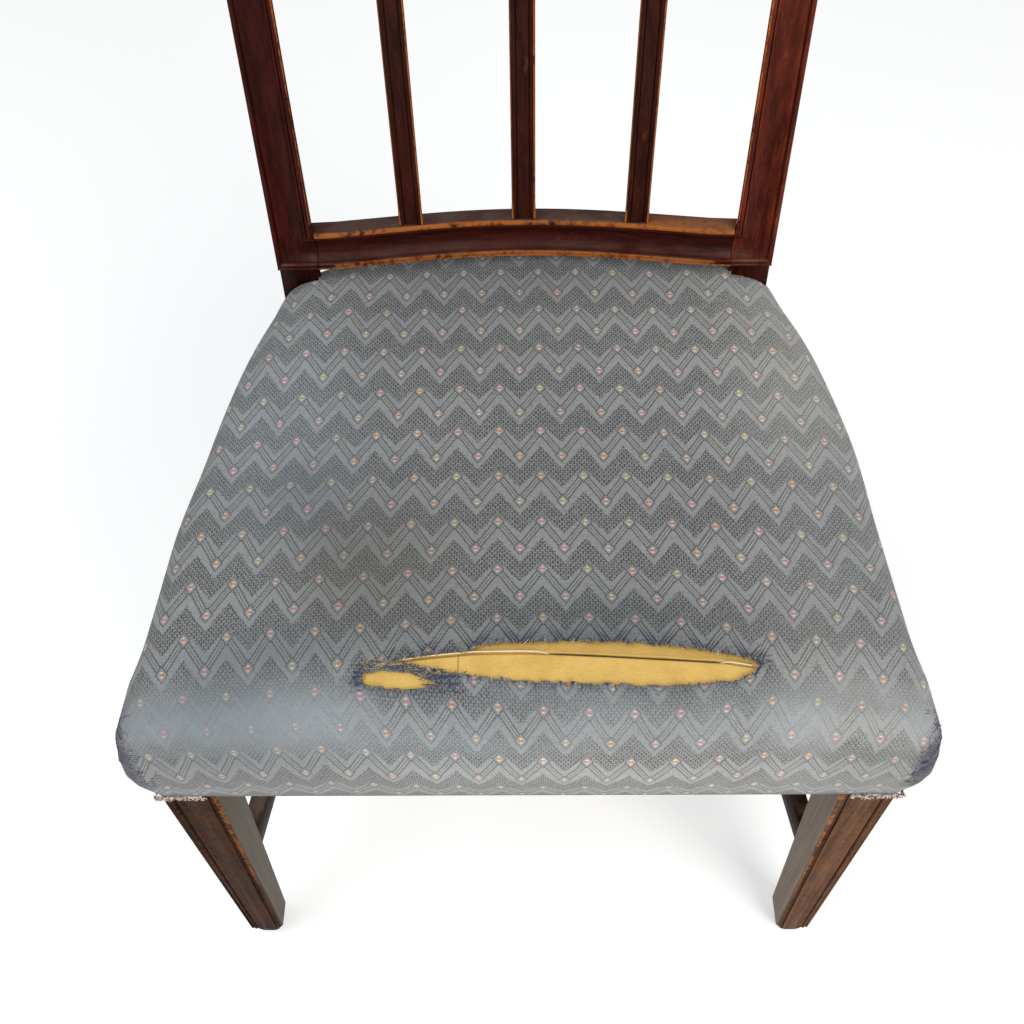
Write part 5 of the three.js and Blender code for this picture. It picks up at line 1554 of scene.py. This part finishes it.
@dataclass
class SeatCover:
    """The woven cover, stretched over the stuffing, with its torn front."""

    form: SeatForm = field(default_factory=SeatForm)
    cells: int = 120
    roll_steps: int = 10
    wall_steps: int = 17
    thickness: float = 1.1 * MM
    cloth_share: float = 0.9
    datum: float = 235 * MM
    post_inner: float = 163.5 * MM
    post_front: float = 387 * MM
    tuck: float = 0.8 * MM
    rear_part: float = 360 * MM
    splay: float = 0.25
    post_outer: float = 196.6 * MM
    wrap: float = 2.6 * MM
    splay_front: float = 383 * MM
    splay_start: float = 434 * MM
    uv: dict = field(default_factory=dict)
    square: dict = field(default_factory=dict)
    tree: BVHTree | None = None

    def snap(self, x: float, y: float, z: float, lift: float) -> Vector:
        """Returns the nearest place on the whole cover, lifted off it, in the chair's frame."""
        place, normal, _, _ = self.tree.find_nearest(Vector((x, y, z)))
        return place + normal * lift + Vector((0, LEG_FRONT, 0))

    def cloth_at(self, place: Vector) -> Pair:
        """Returns the cloth coordinates of a place on the seat's top."""
        x = place.x
        steps = 8
        deep = wide = 0.0
        for i in range(steps):
            share = (i + 0.5) / steps
            y = lerp(self.datum, place.y, share)
            rise = (self.form.height(x, y + MM) - self.form.height(x, y - MM)) / (2 * MM)
            deep += math.hypot(1, rise) / steps
            left, right = (self.form.height(x * share + way, place.y) for way in (-MM, MM))
            wide += math.hypot(1, (right - left) / (2 * MM)) / steps
        return x * wide, self.datum + (place.y - self.datum) * deep

    def shell(self) -> Shape:
        """Returns the cover's sheet, from its top down its walls, with cloth coordinates."""
        shape, self.square = self.form.sheet(self.cells)
        self.uv = {v: (self.cloth_at(v.co),) * 2 for v in shape.verts}
        places = [
            lambda a, b, turn=math.pi / 2 * (1 - i / self.roll_steps): self.form.turned(a, b, turn)
            for i in range(1, self.roll_steps + 1)
        ]
        for i in range(1, self.wall_steps + 1):
            z = lerp(self.form.widest, self.form.bottom, i / self.wall_steps)
            places.append(lambda a, b, z=z: self.form.wall(a, b, z))
        draw_out(shape, self.square, places, self.follow)
        shape.normal_update()
        face_way(shape, 1.0)
        layer = shape.loops.layers.uv.new("cloth")
        for face in shape.faces:
            across, along = (abs(sum(self.square[v][i] for v in face.verts)) for i in (0, 1))
            facing = 0 if along >= across else 1
            for loop in face.loops:
                loop[layer].uv = self.uv[loop.vert][facing]
        return shape

    def follow(self, vert: bmesh.types.BMVert, parent: bmesh.types.BMVert) -> None:
        """Carries the cloth's two sets of coordinates one step down a wall that faces along or across."""
        a, b = self.square[vert]
        step = vert.co - parent.co
        (front_u, front_v), (side_u, side_v) = self.uv[parent]
        down = math.hypot(step.y, step.z)
        over = math.hypot(step.x, step.z)
        self.uv[vert] = (
            (front_u + step.x, front_v + (down if b > 0 else -down)),
            (side_u + (over if a > 0 else -over), side_v + step.y),
        )

    def weave_cloth(self, shape: Shape) -> None:
        """Gives each corner its place in the cloth."""
        layer = shape.loops.layers.uv["cloth"]
        rows = WovenRows()
        start, end = MAIN_TEAR.span()
        for face in shape.faces:
            centre = face.calc_center_median()
            side = 0
            if start < centre.x < end and centre.y < 80 * MM:
                low, high = MAIN_TEAR.lips(centre.x)
                side = 1 if centre.z > 0.44 and centre.y > (low + high) / 2 else -1
            for loop in face.loops:
                u, v = loop[layer].uv
                if centre.y < 0.19:
                    loop[layer].uv = rows.read(u, v, side)
                else:
                    corner = smooth(abs(centre.x), 0.13, 0.18) * smooth(centre.y, 0.31, 0.38)
                    loop[layer].uv = (u, v + 9 * MM * corner)

    def tear(self, shape: Shape) -> None:
        """Opens the tears and lifts their lips."""
        for opening in (MAIN_TEAR, SMALL_TEAR):
            start, end = opening.span()
            near = []
            for face in shape.faces:
                centre = face.calc_center_median()
                inside = start - 6 * MM < centre.x < end + 6 * MM and 14 * MM < centre.y < 62 * MM
                if inside and face.normal.z > 0.6 and max(e.calc_length() for e in face.edges) > 2 * MM:
                    near.append(face)
            refine(shape, near, 3)
        doomed = []
        for face in shape.faces:
            centre = face.calc_center_median()
            if face.normal.z > 0.5 and any(o.holds(centre.x, centre.y) for o in (MAIN_TEAR, SMALL_TEAR)):
                doomed.append(face)
        bmesh.ops.delete(shape, geom=doomed, context="FACES")

    def notch(self, shape: Shape) -> None:
        """Cuts the cloth away round the posts."""
        inner, front = self.post_inner + self.tuck, self.post_front + self.tuck
        planes = [((0, y, 0), (0, 1, 0)) for y in (front, front + self.wrap)]
        planes += [((x, 0, 0), (1, 0, 0)) for x in (self.post_outer, -self.post_outer, inner, -inner)]
        planes.append(((0, 0, self.splay_start), (0, 0, 1)))
        planes += [((way * inner, self.splay_front, 0), (1, -way * self.splay, 0)) for way in (1, -1)]
        for place, normal in planes:
            near = [f for f in shape.faces if f.calc_center_median().y > self.rear_part]
            cut(shape, Vector(place), Vector(normal), near)
        doomed = []
        for face in shape.faces:
            x, y, z = face.calc_center_median()
            stop = front + (self.wrap if abs(x) > self.post_outer else 0.0)
            edge = inner + (self.splay * (y - self.splay_front) if z > self.splay_start else 0.0)
            if abs(x) > edge and y > stop:
                doomed.append(face)
        bmesh.ops.delete(shape, geom=doomed, context="FACES")

    def masks(self, piece: Piece) -> None:
        """Marks where the cloth is rubbed and frayed, and its stains, soil and painted light."""
        rubbed, frayed, warm, cool, tone = [], [], [], [], []
        for vert in piece.data.vertices:
            x, y, z = vert.co.x, vert.co.y - LEG_FRONT, vert.co.z
            front = 1 - smooth(y, 6 * MM, 46 * MM)
            roll = front * smooth(z, 0.425, 0.455)
            left = 1 - smooth(x, -150 * MM, -70 * MM)
            right = smooth(x, 120 * MM, 210 * MM)
            rubbed.append(min(roll * (0.45 + 0.5 * left + 0.4 * right) + 0.15 * right, 1.0))
            on_top = y < 0.09 and z > 0.43
            near = max(MAIN_TEAR.beside(x, y), SMALL_TEAR.beside(x, y)) if on_top else 0.0
            corner = smooth(abs(x), 0.25 if x < 0 else 0.245, 0.258) * (1 - smooth(y, 0.01, 0.03))
            corner *= smooth(z, 0.372, 0.39) * (1 - smooth(z, 0.434, 0.448))
            hem = smooth(abs(x), 0.2, 0.216) * (1 - smooth(z, 0.354, 0.36)) * (1 - smooth(y, 0.03, 0.045))
            frayed.append(max(near, corner * 4, hem * 1.4))
            along = (y - max(0.452 - z, 0.0) if y < 0.03 else y) / MM
            shares = [(spot, spot.share(x / MM, along)) for spot in STAIN_AND_LIGHT_SPOTS]
            warm.append(min(sum(spot.warm * share for spot, share in shares), 1.0))
            cool.append(min(sum(spot.cool * share for spot, share in shares), 1.0))
            tone.append(1 + sum(spot.tone * share for spot, share in shares))
        number_layers(piece, rubbed=rubbed, frayed=frayed, warm=warm, cool=cool, tone=tone)

    def build(self, rests_on: list) -> Piece:
        """Builds the cover, tears it, dresses it and trims it.

        Args:
            rests_on: The pieces that it is stretched over; not used.

        Returns:
            The finished piece.
        """
        shape = self.shell()
        self.tree = BVHTree.FromBMesh(shape)
        self.tear(shape)
        self.weave_cloth(shape)
        self.notch(shape)
        bmesh.ops.translate(shape, verts=shape.verts, vec=(0, LEG_FRONT, 0))
        piece = settle("seat_cover_cloth", shape, WornCloth("woven_cloth"), Slot.FABRIC, 70.0)
        self.masks(piece)
        thicken(piece, self.thickness)
        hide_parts("seat_cover")
        trims = [*TearThreads(self).build(), *Hem(self).build()]
        return piece


@dataclass
class Threads:
    """Loose yarn of one colour, strand by strand."""

    name: str
    tint: Colour
    radius: float = 0.2 * MM
    strands: list[list[Vector]] = field(default_factory=list)

    def build(self) -> Piece:
        """Turns the strands into one piece of thin closed tubes."""
        curve = bpy.data.curves.new(self.name, "CURVE")
        curve.dimensions = "3D"
        curve.bevel_depth = self.radius
        curve.bevel_resolution = 0
        curve.use_fill_caps = True
        for points in self.strands:
            line = curve.splines.new("POLY")
            line.points.add(len(points) - 1)
            line.points.foreach_set("co", [value for point in points for value in (*point, 1.0)])
        carrier = add_object(self.name, curve)
        done = carrier.evaluated_get(bpy.context.evaluated_depsgraph_get())
        mesh = bpy.data.meshes.new_from_object(done)
        bpy.data.objects.remove(carrier)
        bpy.data.curves.remove(curve)
        shape = bmesh.new()
        shape.from_mesh(mesh)
        bpy.data.meshes.remove(mesh)
        bmesh.ops.remove_doubles(shape, verts=shape.verts, dist=1e-6)
        bmesh.ops.recalc_face_normals(shape, faces=shape.faces)
        yarn = Yarn(self.name + "_yarn", tint=self.tint)
        return settle(self.name + "_strands", shape, yarn, Slot.FABRIC)


@dataclass
class TearThreads:
    """The broken yarn round the tears and at the worn corners."""

    cover: SeatCover
    colours: tuple[tuple[str, tuple, int], ...] = (
        ("indigo", rgb(52, 58, 86), 5),
        ("slate", rgb(96, 104, 116), 3),
        ("gold", rgb(176, 150, 86), 3),
        ("cream", rgb(212, 200, 176), 1),
    )
    patches: tuple[tuple[float, ...], ...] = (
        (-86, -75, 34, 39.5, 90, 2),
        (-76, -64, 31, 36, 90, 2),
        (-65, -50, 28, 32.5, 80, 2),
        (-103, -86, 35, 42, 80, 2),
        (-64, -40, 22, 30, 110, 0),
        (-109, -102, 20, 38, 50, 0),
        (142, 156, 36, 46, 26, 0),
    )
    lip_strands: int = 210
    corner_strands: tuple[int, int] = (80, 130)
    seed: int = 11

    def across(self, rng: random.Random, threads: list[Threads]) -> None:
        """Lets strands hang from the lips of the main tear into its opening."""
        start, end = MAIN_TEAR.span()
        for _ in range(self.lip_strands):
            x = rng.uniform(start + 2 * MM, end - 1 * MM)
            low, high = MAIN_TEAR.lips(x)
            rear = rng.random() < 0.68
            y, way = (high + 0.8 * MM, -1.0) if rear else (low - 0.8 * MM, 1.0)
            length = min(rng.uniform(1.3, 3.6 if rear else 2.0) * MM, (high - low) * 0.6 + 1.2 * MM)
            lean = rng.gauss(0, 0.5)
            points = []
            for i in range(5):
                along = length * i / 4
                lift = 0.35 * MM - 0.34 * max(along - 0.8 * MM, 0.0)
                lean += rng.gauss(0, 0.15)
                points.append(self.cover.snap(x + lean * along, y + way * along, 0.46, lift))
            threads[self.pick(rng)].strands.append(points)

    def pick(self, rng: random.Random) -> int:
        """Picks a colour by its weight."""
        weights = [weight for _, _, weight in self.colours]
        return rng.choices(range(len(weights)), weights)[0]

    def lying(self, rng: random.Random, x: float, y: float, z: float, upright: bool) -> list[Vector]:
        """Returns a short strand that lies on the cloth.

        Args:
            rng: The source of chance.
            x: Start across.
            y: Start along.
            z: Start up.
            upright: Whether it lies on the wall.

        Returns:
            The strand's points.
        """
        turn = rng.gauss(0, 0.22) + (math.pi if rng.random() < 0.5 else 0.0)
        length = rng.uniform(1.2, 3.4) * MM
        points = []
        for i in range(4):
            turn += rng.gauss(0, 0.1)
            step = length * i / 3
            side, over = math.cos(turn) * step, math.sin(turn) * step
            place = (x + side, y, z + over) if upright else (x + side, y + over, z)
            points.append(self.cover.snap(*place, rng.uniform(0.1, 0.5) * MM))
        return points

    def build(self) -> list[Piece]:
        """Builds the strands, one piece for each colour."""
        rng = random.Random(self.seed)
        threads = [Threads("loose_" + name, tint) for name, tint, _ in self.colours]
        self.across(rng, threads)
        for x0, x1, y0, y1, count, colour in self.patches:
            for _ in range(int(count)):
                x = min(max(rng.gauss((x0 + x1) / 2, (x1 - x0) / 3.6), x0), x1) * MM
                y = min(max(rng.gauss((y0 + y1) / 2, (y1 - y0) / 3.6), y0), y1) * MM
                which = int(colour) if rng.random() < 0.42 else rng.choice((0, 0, 0, 1))
                threads[which].strands.append(self.lying(rng, x, y, 0.455, False))
        for side in (-1, 1):
            for _ in range(self.corner_strands[side > 0]):
                x, z = side * rng.uniform(247, 262) * MM, rng.uniform(386, 440) * MM
                which = rng.choice((0, 0, 1, 2 if side > 0 else 0))
                threads[which].strands.append(self.lying(rng, x, rng.uniform(-4, 16) * MM, z, True))
        return [thread.build() for thread in threads]


@dataclass
class Hem:
    """The cover's edge: turned under the rails and tacked, and frayed over the front legs."""

    cover: SeatCover
    steps: int = 60
    profile: Line = ((0.2, 1.2), (0.3, -0.9), (1.2, -1.7), (5, -1.6), (10.5, -1.5))
    marks: tuple[tuple[str, float], ...] = (
        ("tone", 0.9), ("frayed", 0.15), ("rubbed", 0.2), ("warm", 0.3), ("cool", 0.0),
    )
    thickness: float = 0.8 * MM
    wave_length: float = 14 * MM
    fringe_strands: int = 520
    tack_pitch: float = 27 * MM
    tack_radius: float = 3.1 * MM
    tack_flatness: float = 0.42
    tack_drop: float = 2.3 * MM
    seed: int = 5

    def runs(self) -> dict[str, tuple[Vector, Vector, Vector]]:
        """Returns each hem's start, end and inward direction in plan, from the legs' front."""
        form = self.cover.form
        out = form.out
        near, far = 42 * MM, 383 * MM
        near_x, far_x = (form.half - form.slope * (y - form.leg) + out for y in (near, far))
        tilt = math.atan(form.slope)
        ends = Vector((216 * MM, -out, 0)), Vector((158 * MM, form.rear + out, 0))
        flip = Vector((-1, 1, 1))
        runs = {"hem_front": (ends[0] * flip, ends[0], Vector((0, 1, 0)))}
        for name, side in (("hem_left", -1), ("hem_right", 1)):
            start, end = Vector((side * near_x, near, 0)), Vector((side * far_x, far, 0))
            runs[name] = (start, end, Vector((-side * math.cos(tilt), -math.sin(tilt), 0)))
        runs["hem_rear"] = (ends[1] * flip, ends[1], Vector((0, -1, 0)))
        return runs

    def strip(self, name: str, start: Vector, end: Vector, inward: Vector) -> Piece:
        """Builds one turned hem as a thin sheet.

        Args:
            name: The piece's name.
            start: Where it starts in plan.
            end: Where it ends in plan.
            inward: Its direction under the rail.

        Returns:
            The finished piece.
        """
        shape = bmesh.new()
        rows = len(self.profile) - 1
        bmesh.ops.create_grid(shape, x_segments=self.steps, y_segments=rows, size=1.0, calc_uvs=True)
        shape.loops.layers.uv.new("cloth")
        length = (end - start).length
        uv = {}
        for vert in shape.verts:
            along, row = (vert.co.x + 1) / 2, round((vert.co.y + 1) / 2 * rows)
            depth, rise = self.profile[row]
            wave = noise.noise(Vector((along * length / self.wave_length, row * 0.7, self.seed)))
            wave *= 0.25 + 0.5 * row
            uv[vert] = (along * length, depth * MM)
            place = start.lerp(end, along) + inward * (depth + wave * (row > 1)) * MM
            vert.co = (place.x, place.y + LEG_FRONT, self.cover.form.bottom + rise * MM)
        layer = shape.loops.layers.uv["cloth"]
        for face in shape.faces:
            for loop in face.loops:
                loop[layer].uv = uv[loop.vert]
        face_way(shape, -1.0)
        piece = settle(name, shape, WornCloth("woven_cloth"), Slot.FABRIC, 80.0)
        count = len(piece.data.vertices)
        number_layers(piece, **{mark: [value] * count for mark, value in self.marks})
        thicken(piece, self.thickness)
        return piece

    def tacks(self) -> Piece:
        """Builds the tacks that hold the hems, as one piece."""
        shape = bmesh.new()
        rng = random.Random(self.seed)
        for start, end, inward in self.runs().values():
            count = int((end - start).length / self.tack_pitch)
            for i in range(count):
                along = (i + 0.5 + rng.uniform(-0.12, 0.12)) / count
                place = start.lerp(end, along) + inward * (6.5 + rng.uniform(-0.8, 0.8)) * MM
                head = bmesh.ops.create_uvsphere(
                    shape, u_segments=12, v_segments=6, radius=self.tack_radius
                )["verts"]
                bmesh.ops.scale(shape, verts=head, vec=(1, 1, self.tack_flatness))
                lift = (place.x, place.y + LEG_FRONT, self.cover.form.bottom - self.tack_drop)
                bmesh.ops.translate(shape, verts=head, vec=lift)
        return settle("hem_tacks", shape, Steel("dull_steel"), Slot.STEEL)

    def fringe(self) -> list[Piece]:
        """Builds the frayed edge over the front legs."""
        rng = random.Random(self.seed)
        bottom = self.cover.form.bottom
        threads = [
            Threads("hem_pale", rgb(204, 194, 182), 0.36 * MM),
            Threads("hem_dark", rgb(40, 40, 44), 0.3 * MM),
            Threads("hem_rose", rgb(176, 150, 142), 0.36 * MM),
        ]
        for side in (-1, 1):
            for _ in range(self.fringe_strands):
                front = rng.random() < 0.75
                if front:
                    x = side * rng.uniform(225, 260) * MM
                    y = -self.cover.form.out - rng.uniform(-0.2, 0.9) * MM
                else:
                    y = rng.uniform(0, 40) * MM
                    x = side * (self.cover.form.half + self.cover.form.out + 0.3 * MM)
                place = Vector((x, y + LEG_FRONT, bottom + rng.uniform(-4.5, 2.0) * MM))
                points = [place.copy()]
                drift = rng.gauss(0, 1.0)
                length = rng.uniform(1.2, 3.6) * MM
                for _ in range(3):
                    drift += rng.gauss(0, 0.4)
                    step = Vector((drift, -0.12, -1.0) if front else (0.1 * side, drift, -1.0))
                    points.append(points[-1] + step.normalized() * length / 3)
                threads[rng.choices((0, 1, 2), (5, 3, 2))[0]].strands.append(points)
        return [thread.build() for thread in threads]

    def build(self) -> list[Piece]:
        """Builds the hems, their tacks and the frayed edge."""
        strips = [self.strip(name, *run) for name, run in self.runs().items()]
        return [*strips, self.tacks(), *self.fringe()]


@dataclass
class FoamPad:
    """The seat's foam, with the slit that shows in the tear."""

    form: SeatForm = field(default_factory=lambda: SeatForm(inset=2.6 * MM))
    cells: int = 90
    bottom: float = 429.4 * MM
    slit: Line = (
        (-83.5, 41.3), (-67, 44), (-34, 46.8), (-2.6, 47),
        (32.6, 45.6), (71.5, 43.9), (127, 42), (150, 39),
    )

    def sunk(self, x: float) -> float:
        """Returns how far the welt has sunk into the slit at a place across, in millimetres."""
        return smooth(x, 6, 22) * (1 - smooth(x, 118, 130))

    def sink(self, x: float, y: float) -> float:
        """Returns how far the foam's top lies below its smooth form at a place."""
        line = polyline(self.slit, x / MM) * MM
        inside = smooth(x, -84 * MM, -78 * MM) * (1 - smooth(x, 143 * MM, 149 * MM))
        groove = 2.6 * MM * math.exp(-(((y - line) / (0.9 * MM)) ** 2))
        behind = 0.9 * MM * smooth(y - line, 0, 3 * MM)
        return inside * (groove + behind)

    def build(self) -> Piece:
        """Builds the foam block, presses its slit in and dresses it."""
        shape, square = self.form.sheet(self.cells)
        near = []
        for face in shape.faces:
            centre = face.calc_center_median()
            if -112 * MM < centre.x < 155 * MM and 12 * MM < centre.y < 62 * MM:
                near.append(face)
        steps = [lambda a, b, t=t: self.form.turned(a, b, t) for t in (1.2, 0.8, 0.4, 0.1)]
        steps.append(lambda a, b: self.form.wall(a, b, self.bottom))
        draw_out(shape, square, steps)
        bmesh.ops.contextual_create(shape, geom=[e for e in shape.edges if e.is_boundary])
        refine(shape, near, 4)
        for vert in shape.verts:
            if vert.co.z > 0.44 and vert.co.y < 0.07:
                vert.co.z -= self.sink(vert.co.x, vert.co.y)
        bmesh.ops.recalc_face_normals(shape, faces=shape.faces)
        for face in shape.faces:
            if abs(face.normal.z) > 0.999 and face.calc_area() > 0.05 and face.normal.z > 0:
                bmesh.ops.reverse_faces(shape, faces=shape.faces)
                break
        shades, slits, sunken, across = [], [], [], []
        for vert in shape.verts:
            behind = vert.co.y / MM - polyline(self.slit, vert.co.x / MM) if vert.co.y < 0.07 else 9.0
            shades.append(0.3 * smooth(behind, -0.5, 1.5))
            slits.append(behind)
            sunken.append(self.sunk(vert.co.x / MM))
            across.append(vert.co.x / MM)
        bmesh.ops.translate(shape, verts=shape.verts, vec=(0, LEG_FRONT, 0))
        piece = settle("foam_pad", shape, Foam("yellow_foam"), Slot.FOAM, 60.0)
        number_layers(piece, shade=shades, slit=slits, sunk=sunken, across=across)
        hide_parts("seat_pad")
        return piece

    def welt(self, cover: SeatCover) -> Piece:
        """Builds the pale welt along the foam's slit, which sinks out of sight in its middle."""
        cord = Threads("foam_welt", rgb(228, 216, 184), 0.5 * MM)
        points = []
        for i in range(116):
            x = lerp(-83, 148.5, i / 115)
            y = polyline(self.slit, x)
            drop = (1.9 + 6 * self.sunk(x) + 0.15 * noise.noise(Vector((x / 3, 0, 0)))) * MM
            points.append(cover.snap(x * MM, y * MM, 0.46, -drop))
        cord.strands.append(points)
        return cord.build()


@dataclass
class Base:
    """Webbing and hessian under the stuffing, each a thin woven sheet."""

    straps: tuple[tuple[str, int, int], ...] = (("webbing_long", 4, 1), ("webbing_cross", 3, 0))
    strap_thickness: float = 1.5 * MM
    hessian_thickness: float = 1.1 * MM
    woven_length: float = 1.05
    cells: Pair = (9 * MM, 12 * MM)
    sag: float = 0.5 * MM
    sag_scale: float = 38.0

    def sheet(self, node: str, finish: Finish, slot: Slot, thickness: float, lengthwise: int) -> None:
        """Builds one sheet from the underside of its CAD solid.

        Args:
            node: The solid's node.
            finish: The sheet's finish.
            slot: The record's slot of that finish.
            thickness: The sheet's thickness.
            lengthwise: The axis that it runs along.
        """
        shape = solid(node)
        upper = [f for f in shape.faces if f.normal.z > -0.3]
        bmesh.ops.delete(shape, geom=upper, context="FACES")
        low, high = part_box(node)
        for axis in (0, 1):
            span = high[axis] - low[axis]
            pitch = self.cells[axis == lengthwise or node == "hessian_base"]
            count = max(int(span / pitch), 2)
            for i in range(1, count):
                place, normal = Vector((0, 0, 0)), Vector((0, 0, 0))
                place[axis], normal[axis] = low[axis] + span * i / count, 1.0
                cut(shape, place, normal)
        bmesh.ops.triangulate(shape, faces=[f for f in shape.faces if len(f.verts) > 4])
        layer = shape.loops.layers.uv.new("cloth")
        middle = (low + high) / 2
        rims = {v for e in shape.edges if e.is_boundary for v in e.verts}
        for vert in shape.verts:
            sag = self.sag * noise.noise(vert.co * self.sag_scale)
            vert.co.z += sag if vert not in rims else 0.3 * sag
        for face in shape.faces:
            for loop in face.loops:
                away = loop.vert.co - middle
                loop[layer].uv = (away.x, away.y) if lengthwise == 1 else (away.y, away.x)
        piece = settle(node + "_cloth", shape, finish, slot, 60.0)
        thicken(piece, thickness)
        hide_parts(node)
        spans = sorted((high.x - low.x, high.y - low.y))
        flat = (spans[0], spans[1] * (self.woven_length if "webbing" in node else 1.0))

    def build(self) -> None:
        """Builds the straps and the hessian."""
        webbing = PlainWeave("webbing_weave", stripe=18 * MM)
        for name, count, axis in self.straps:
            for i in range(1, count + 1):
                self.sheet(f"{name}_{i}", webbing, Slot.WEBBING, self.strap_thickness, axis)
        sacking = PlainWeave("hessian_weave", rgb(150, 122, 82), rgb(84, 64, 40), pitch=2.4 * MM)
        self.sheet("hessian_base", sacking, Slot.HESSIAN, self.hessian_thickness, 1)


@dataclass(frozen=True)
class Studio:
    """A plain pale floor, soft lamps and the camera."""

    focal: float = 1174.243
    frame_side: int = 1024
    sensor: float = 36.0
    pitch: float = 54.935
    yaw: float = -1.341
    roll: float = 1.48
    place: tuple[float, float, float] = (1.703, -308.764, 1129.271)
    floor_side: float = 30.0
    glow: float = 0.42

    def camera(self) -> None:
        """Sets up the camera at the photograph's angle."""
        pitch, yaw, roll = (math.radians(v) for v in (self.pitch, self.yaw, self.roll))
        forward = Vector((0, math.cos(pitch), -math.sin(pitch)))
        right = Vector((1, 0, 0))
        down = Vector((0, -math.sin(pitch), -math.cos(pitch)))
        level = math.cos(roll) * right + math.sin(roll) * down
        steep = -math.sin(roll) * right + math.cos(roll) * down
        axes = Matrix((level, steep, forward)) @ Matrix.Rotation(yaw, 3, "Z")
        turned = Matrix((axes[0], -axes[1], -axes[2])).transposed().to_4x4()
        data = bpy.data.cameras.new("photo_camera")
        data.sensor_width = self.sensor
        data.lens = self.focal / self.frame_side * self.sensor
        data.clip_start = 0.01
        data.dof.use_dof = False
        camera = add_object("photo_camera", data)
        x, y, z = (v * MM for v in self.place)
        camera.matrix_world = Matrix.Translation((x, y + LEG_FRONT, z)) @ turned
        bpy.context.scene.camera = camera

    def lamp(
        self, name: str, place: tuple, target: tuple, size: float, power: float, tint: tuple
    ) -> None:
        """Hangs a soft square lamp that points at a target."""
        data = bpy.data.lights.new(name, "AREA")
        data.size = size
        data.energy = power
        data.color = tint
        lamp = add_object(name, data)
        lamp.location = place
        lamp.rotation_euler = (Vector(target) - Vector(place)).to_track_quat("-Z", "Y").to_euler()

    def floor(self) -> None:
        """Lays the floor, which shows white and keeps the chair's shadow."""
        shape = bmesh.new()
        bmesh.ops.create_grid(shape, x_segments=1, y_segments=1, size=self.floor_side / 2)
        mesh = bpy.data.meshes.new("floor")
        shape.to_mesh(mesh)
        shape.free()
        floor = add_object("floor", mesh)
        mesh.materials.append(PaleFloor("floor_white").material())

    def world(self) -> None:
        """Lights the room evenly, and shows white behind the floor."""
        world = bpy.data.worlds.new("plain_room")
        bpy.context.scene.world = world
        world.use_nodes = True
        graph = Graph(world.node_tree)
        back = next(n for n in world.node_tree.nodes if n.type == "BACKGROUND")
        back.inputs["Color"].default_value = (0.97, 0.985, 1.0, 1)
        graph.put(back.inputs["Strength"], graph.blend(graph.seen(), self.glow, 1.0))

    def build(self) -> None:
        """Builds the whole setting."""
        self.floor()
        self.world()
        self.lamp("key_lamp", (1.2, -1.8, 1.9), (0, 0.0, 0.4), 1.3, 42, (1.0, 0.985, 0.955))
        self.lamp("sky_lamp", (-1.3, -0.5, 2.3), (0, 0, 0.4), 1.8, 24, (0.93, 0.97, 1.0))
        self.camera()
        bpy.context.scene.view_settings.view_transform = "Standard"


def main() -> None:
    """Builds the setting, the timber and the seat."""
    logging.basicConfig(level=logging.INFO, format="%(message)s")
    random.seed(7)
    Studio().build()
    ChairFrame().build()
    Base().build()
    foam = FoamPad()
    pad = foam.build()
    cover = SeatCover()
    cover.build([pad])
    foam.welt(cover)
    bpy.context.view_layer.update()


if __name__ == "__main__":
    main()
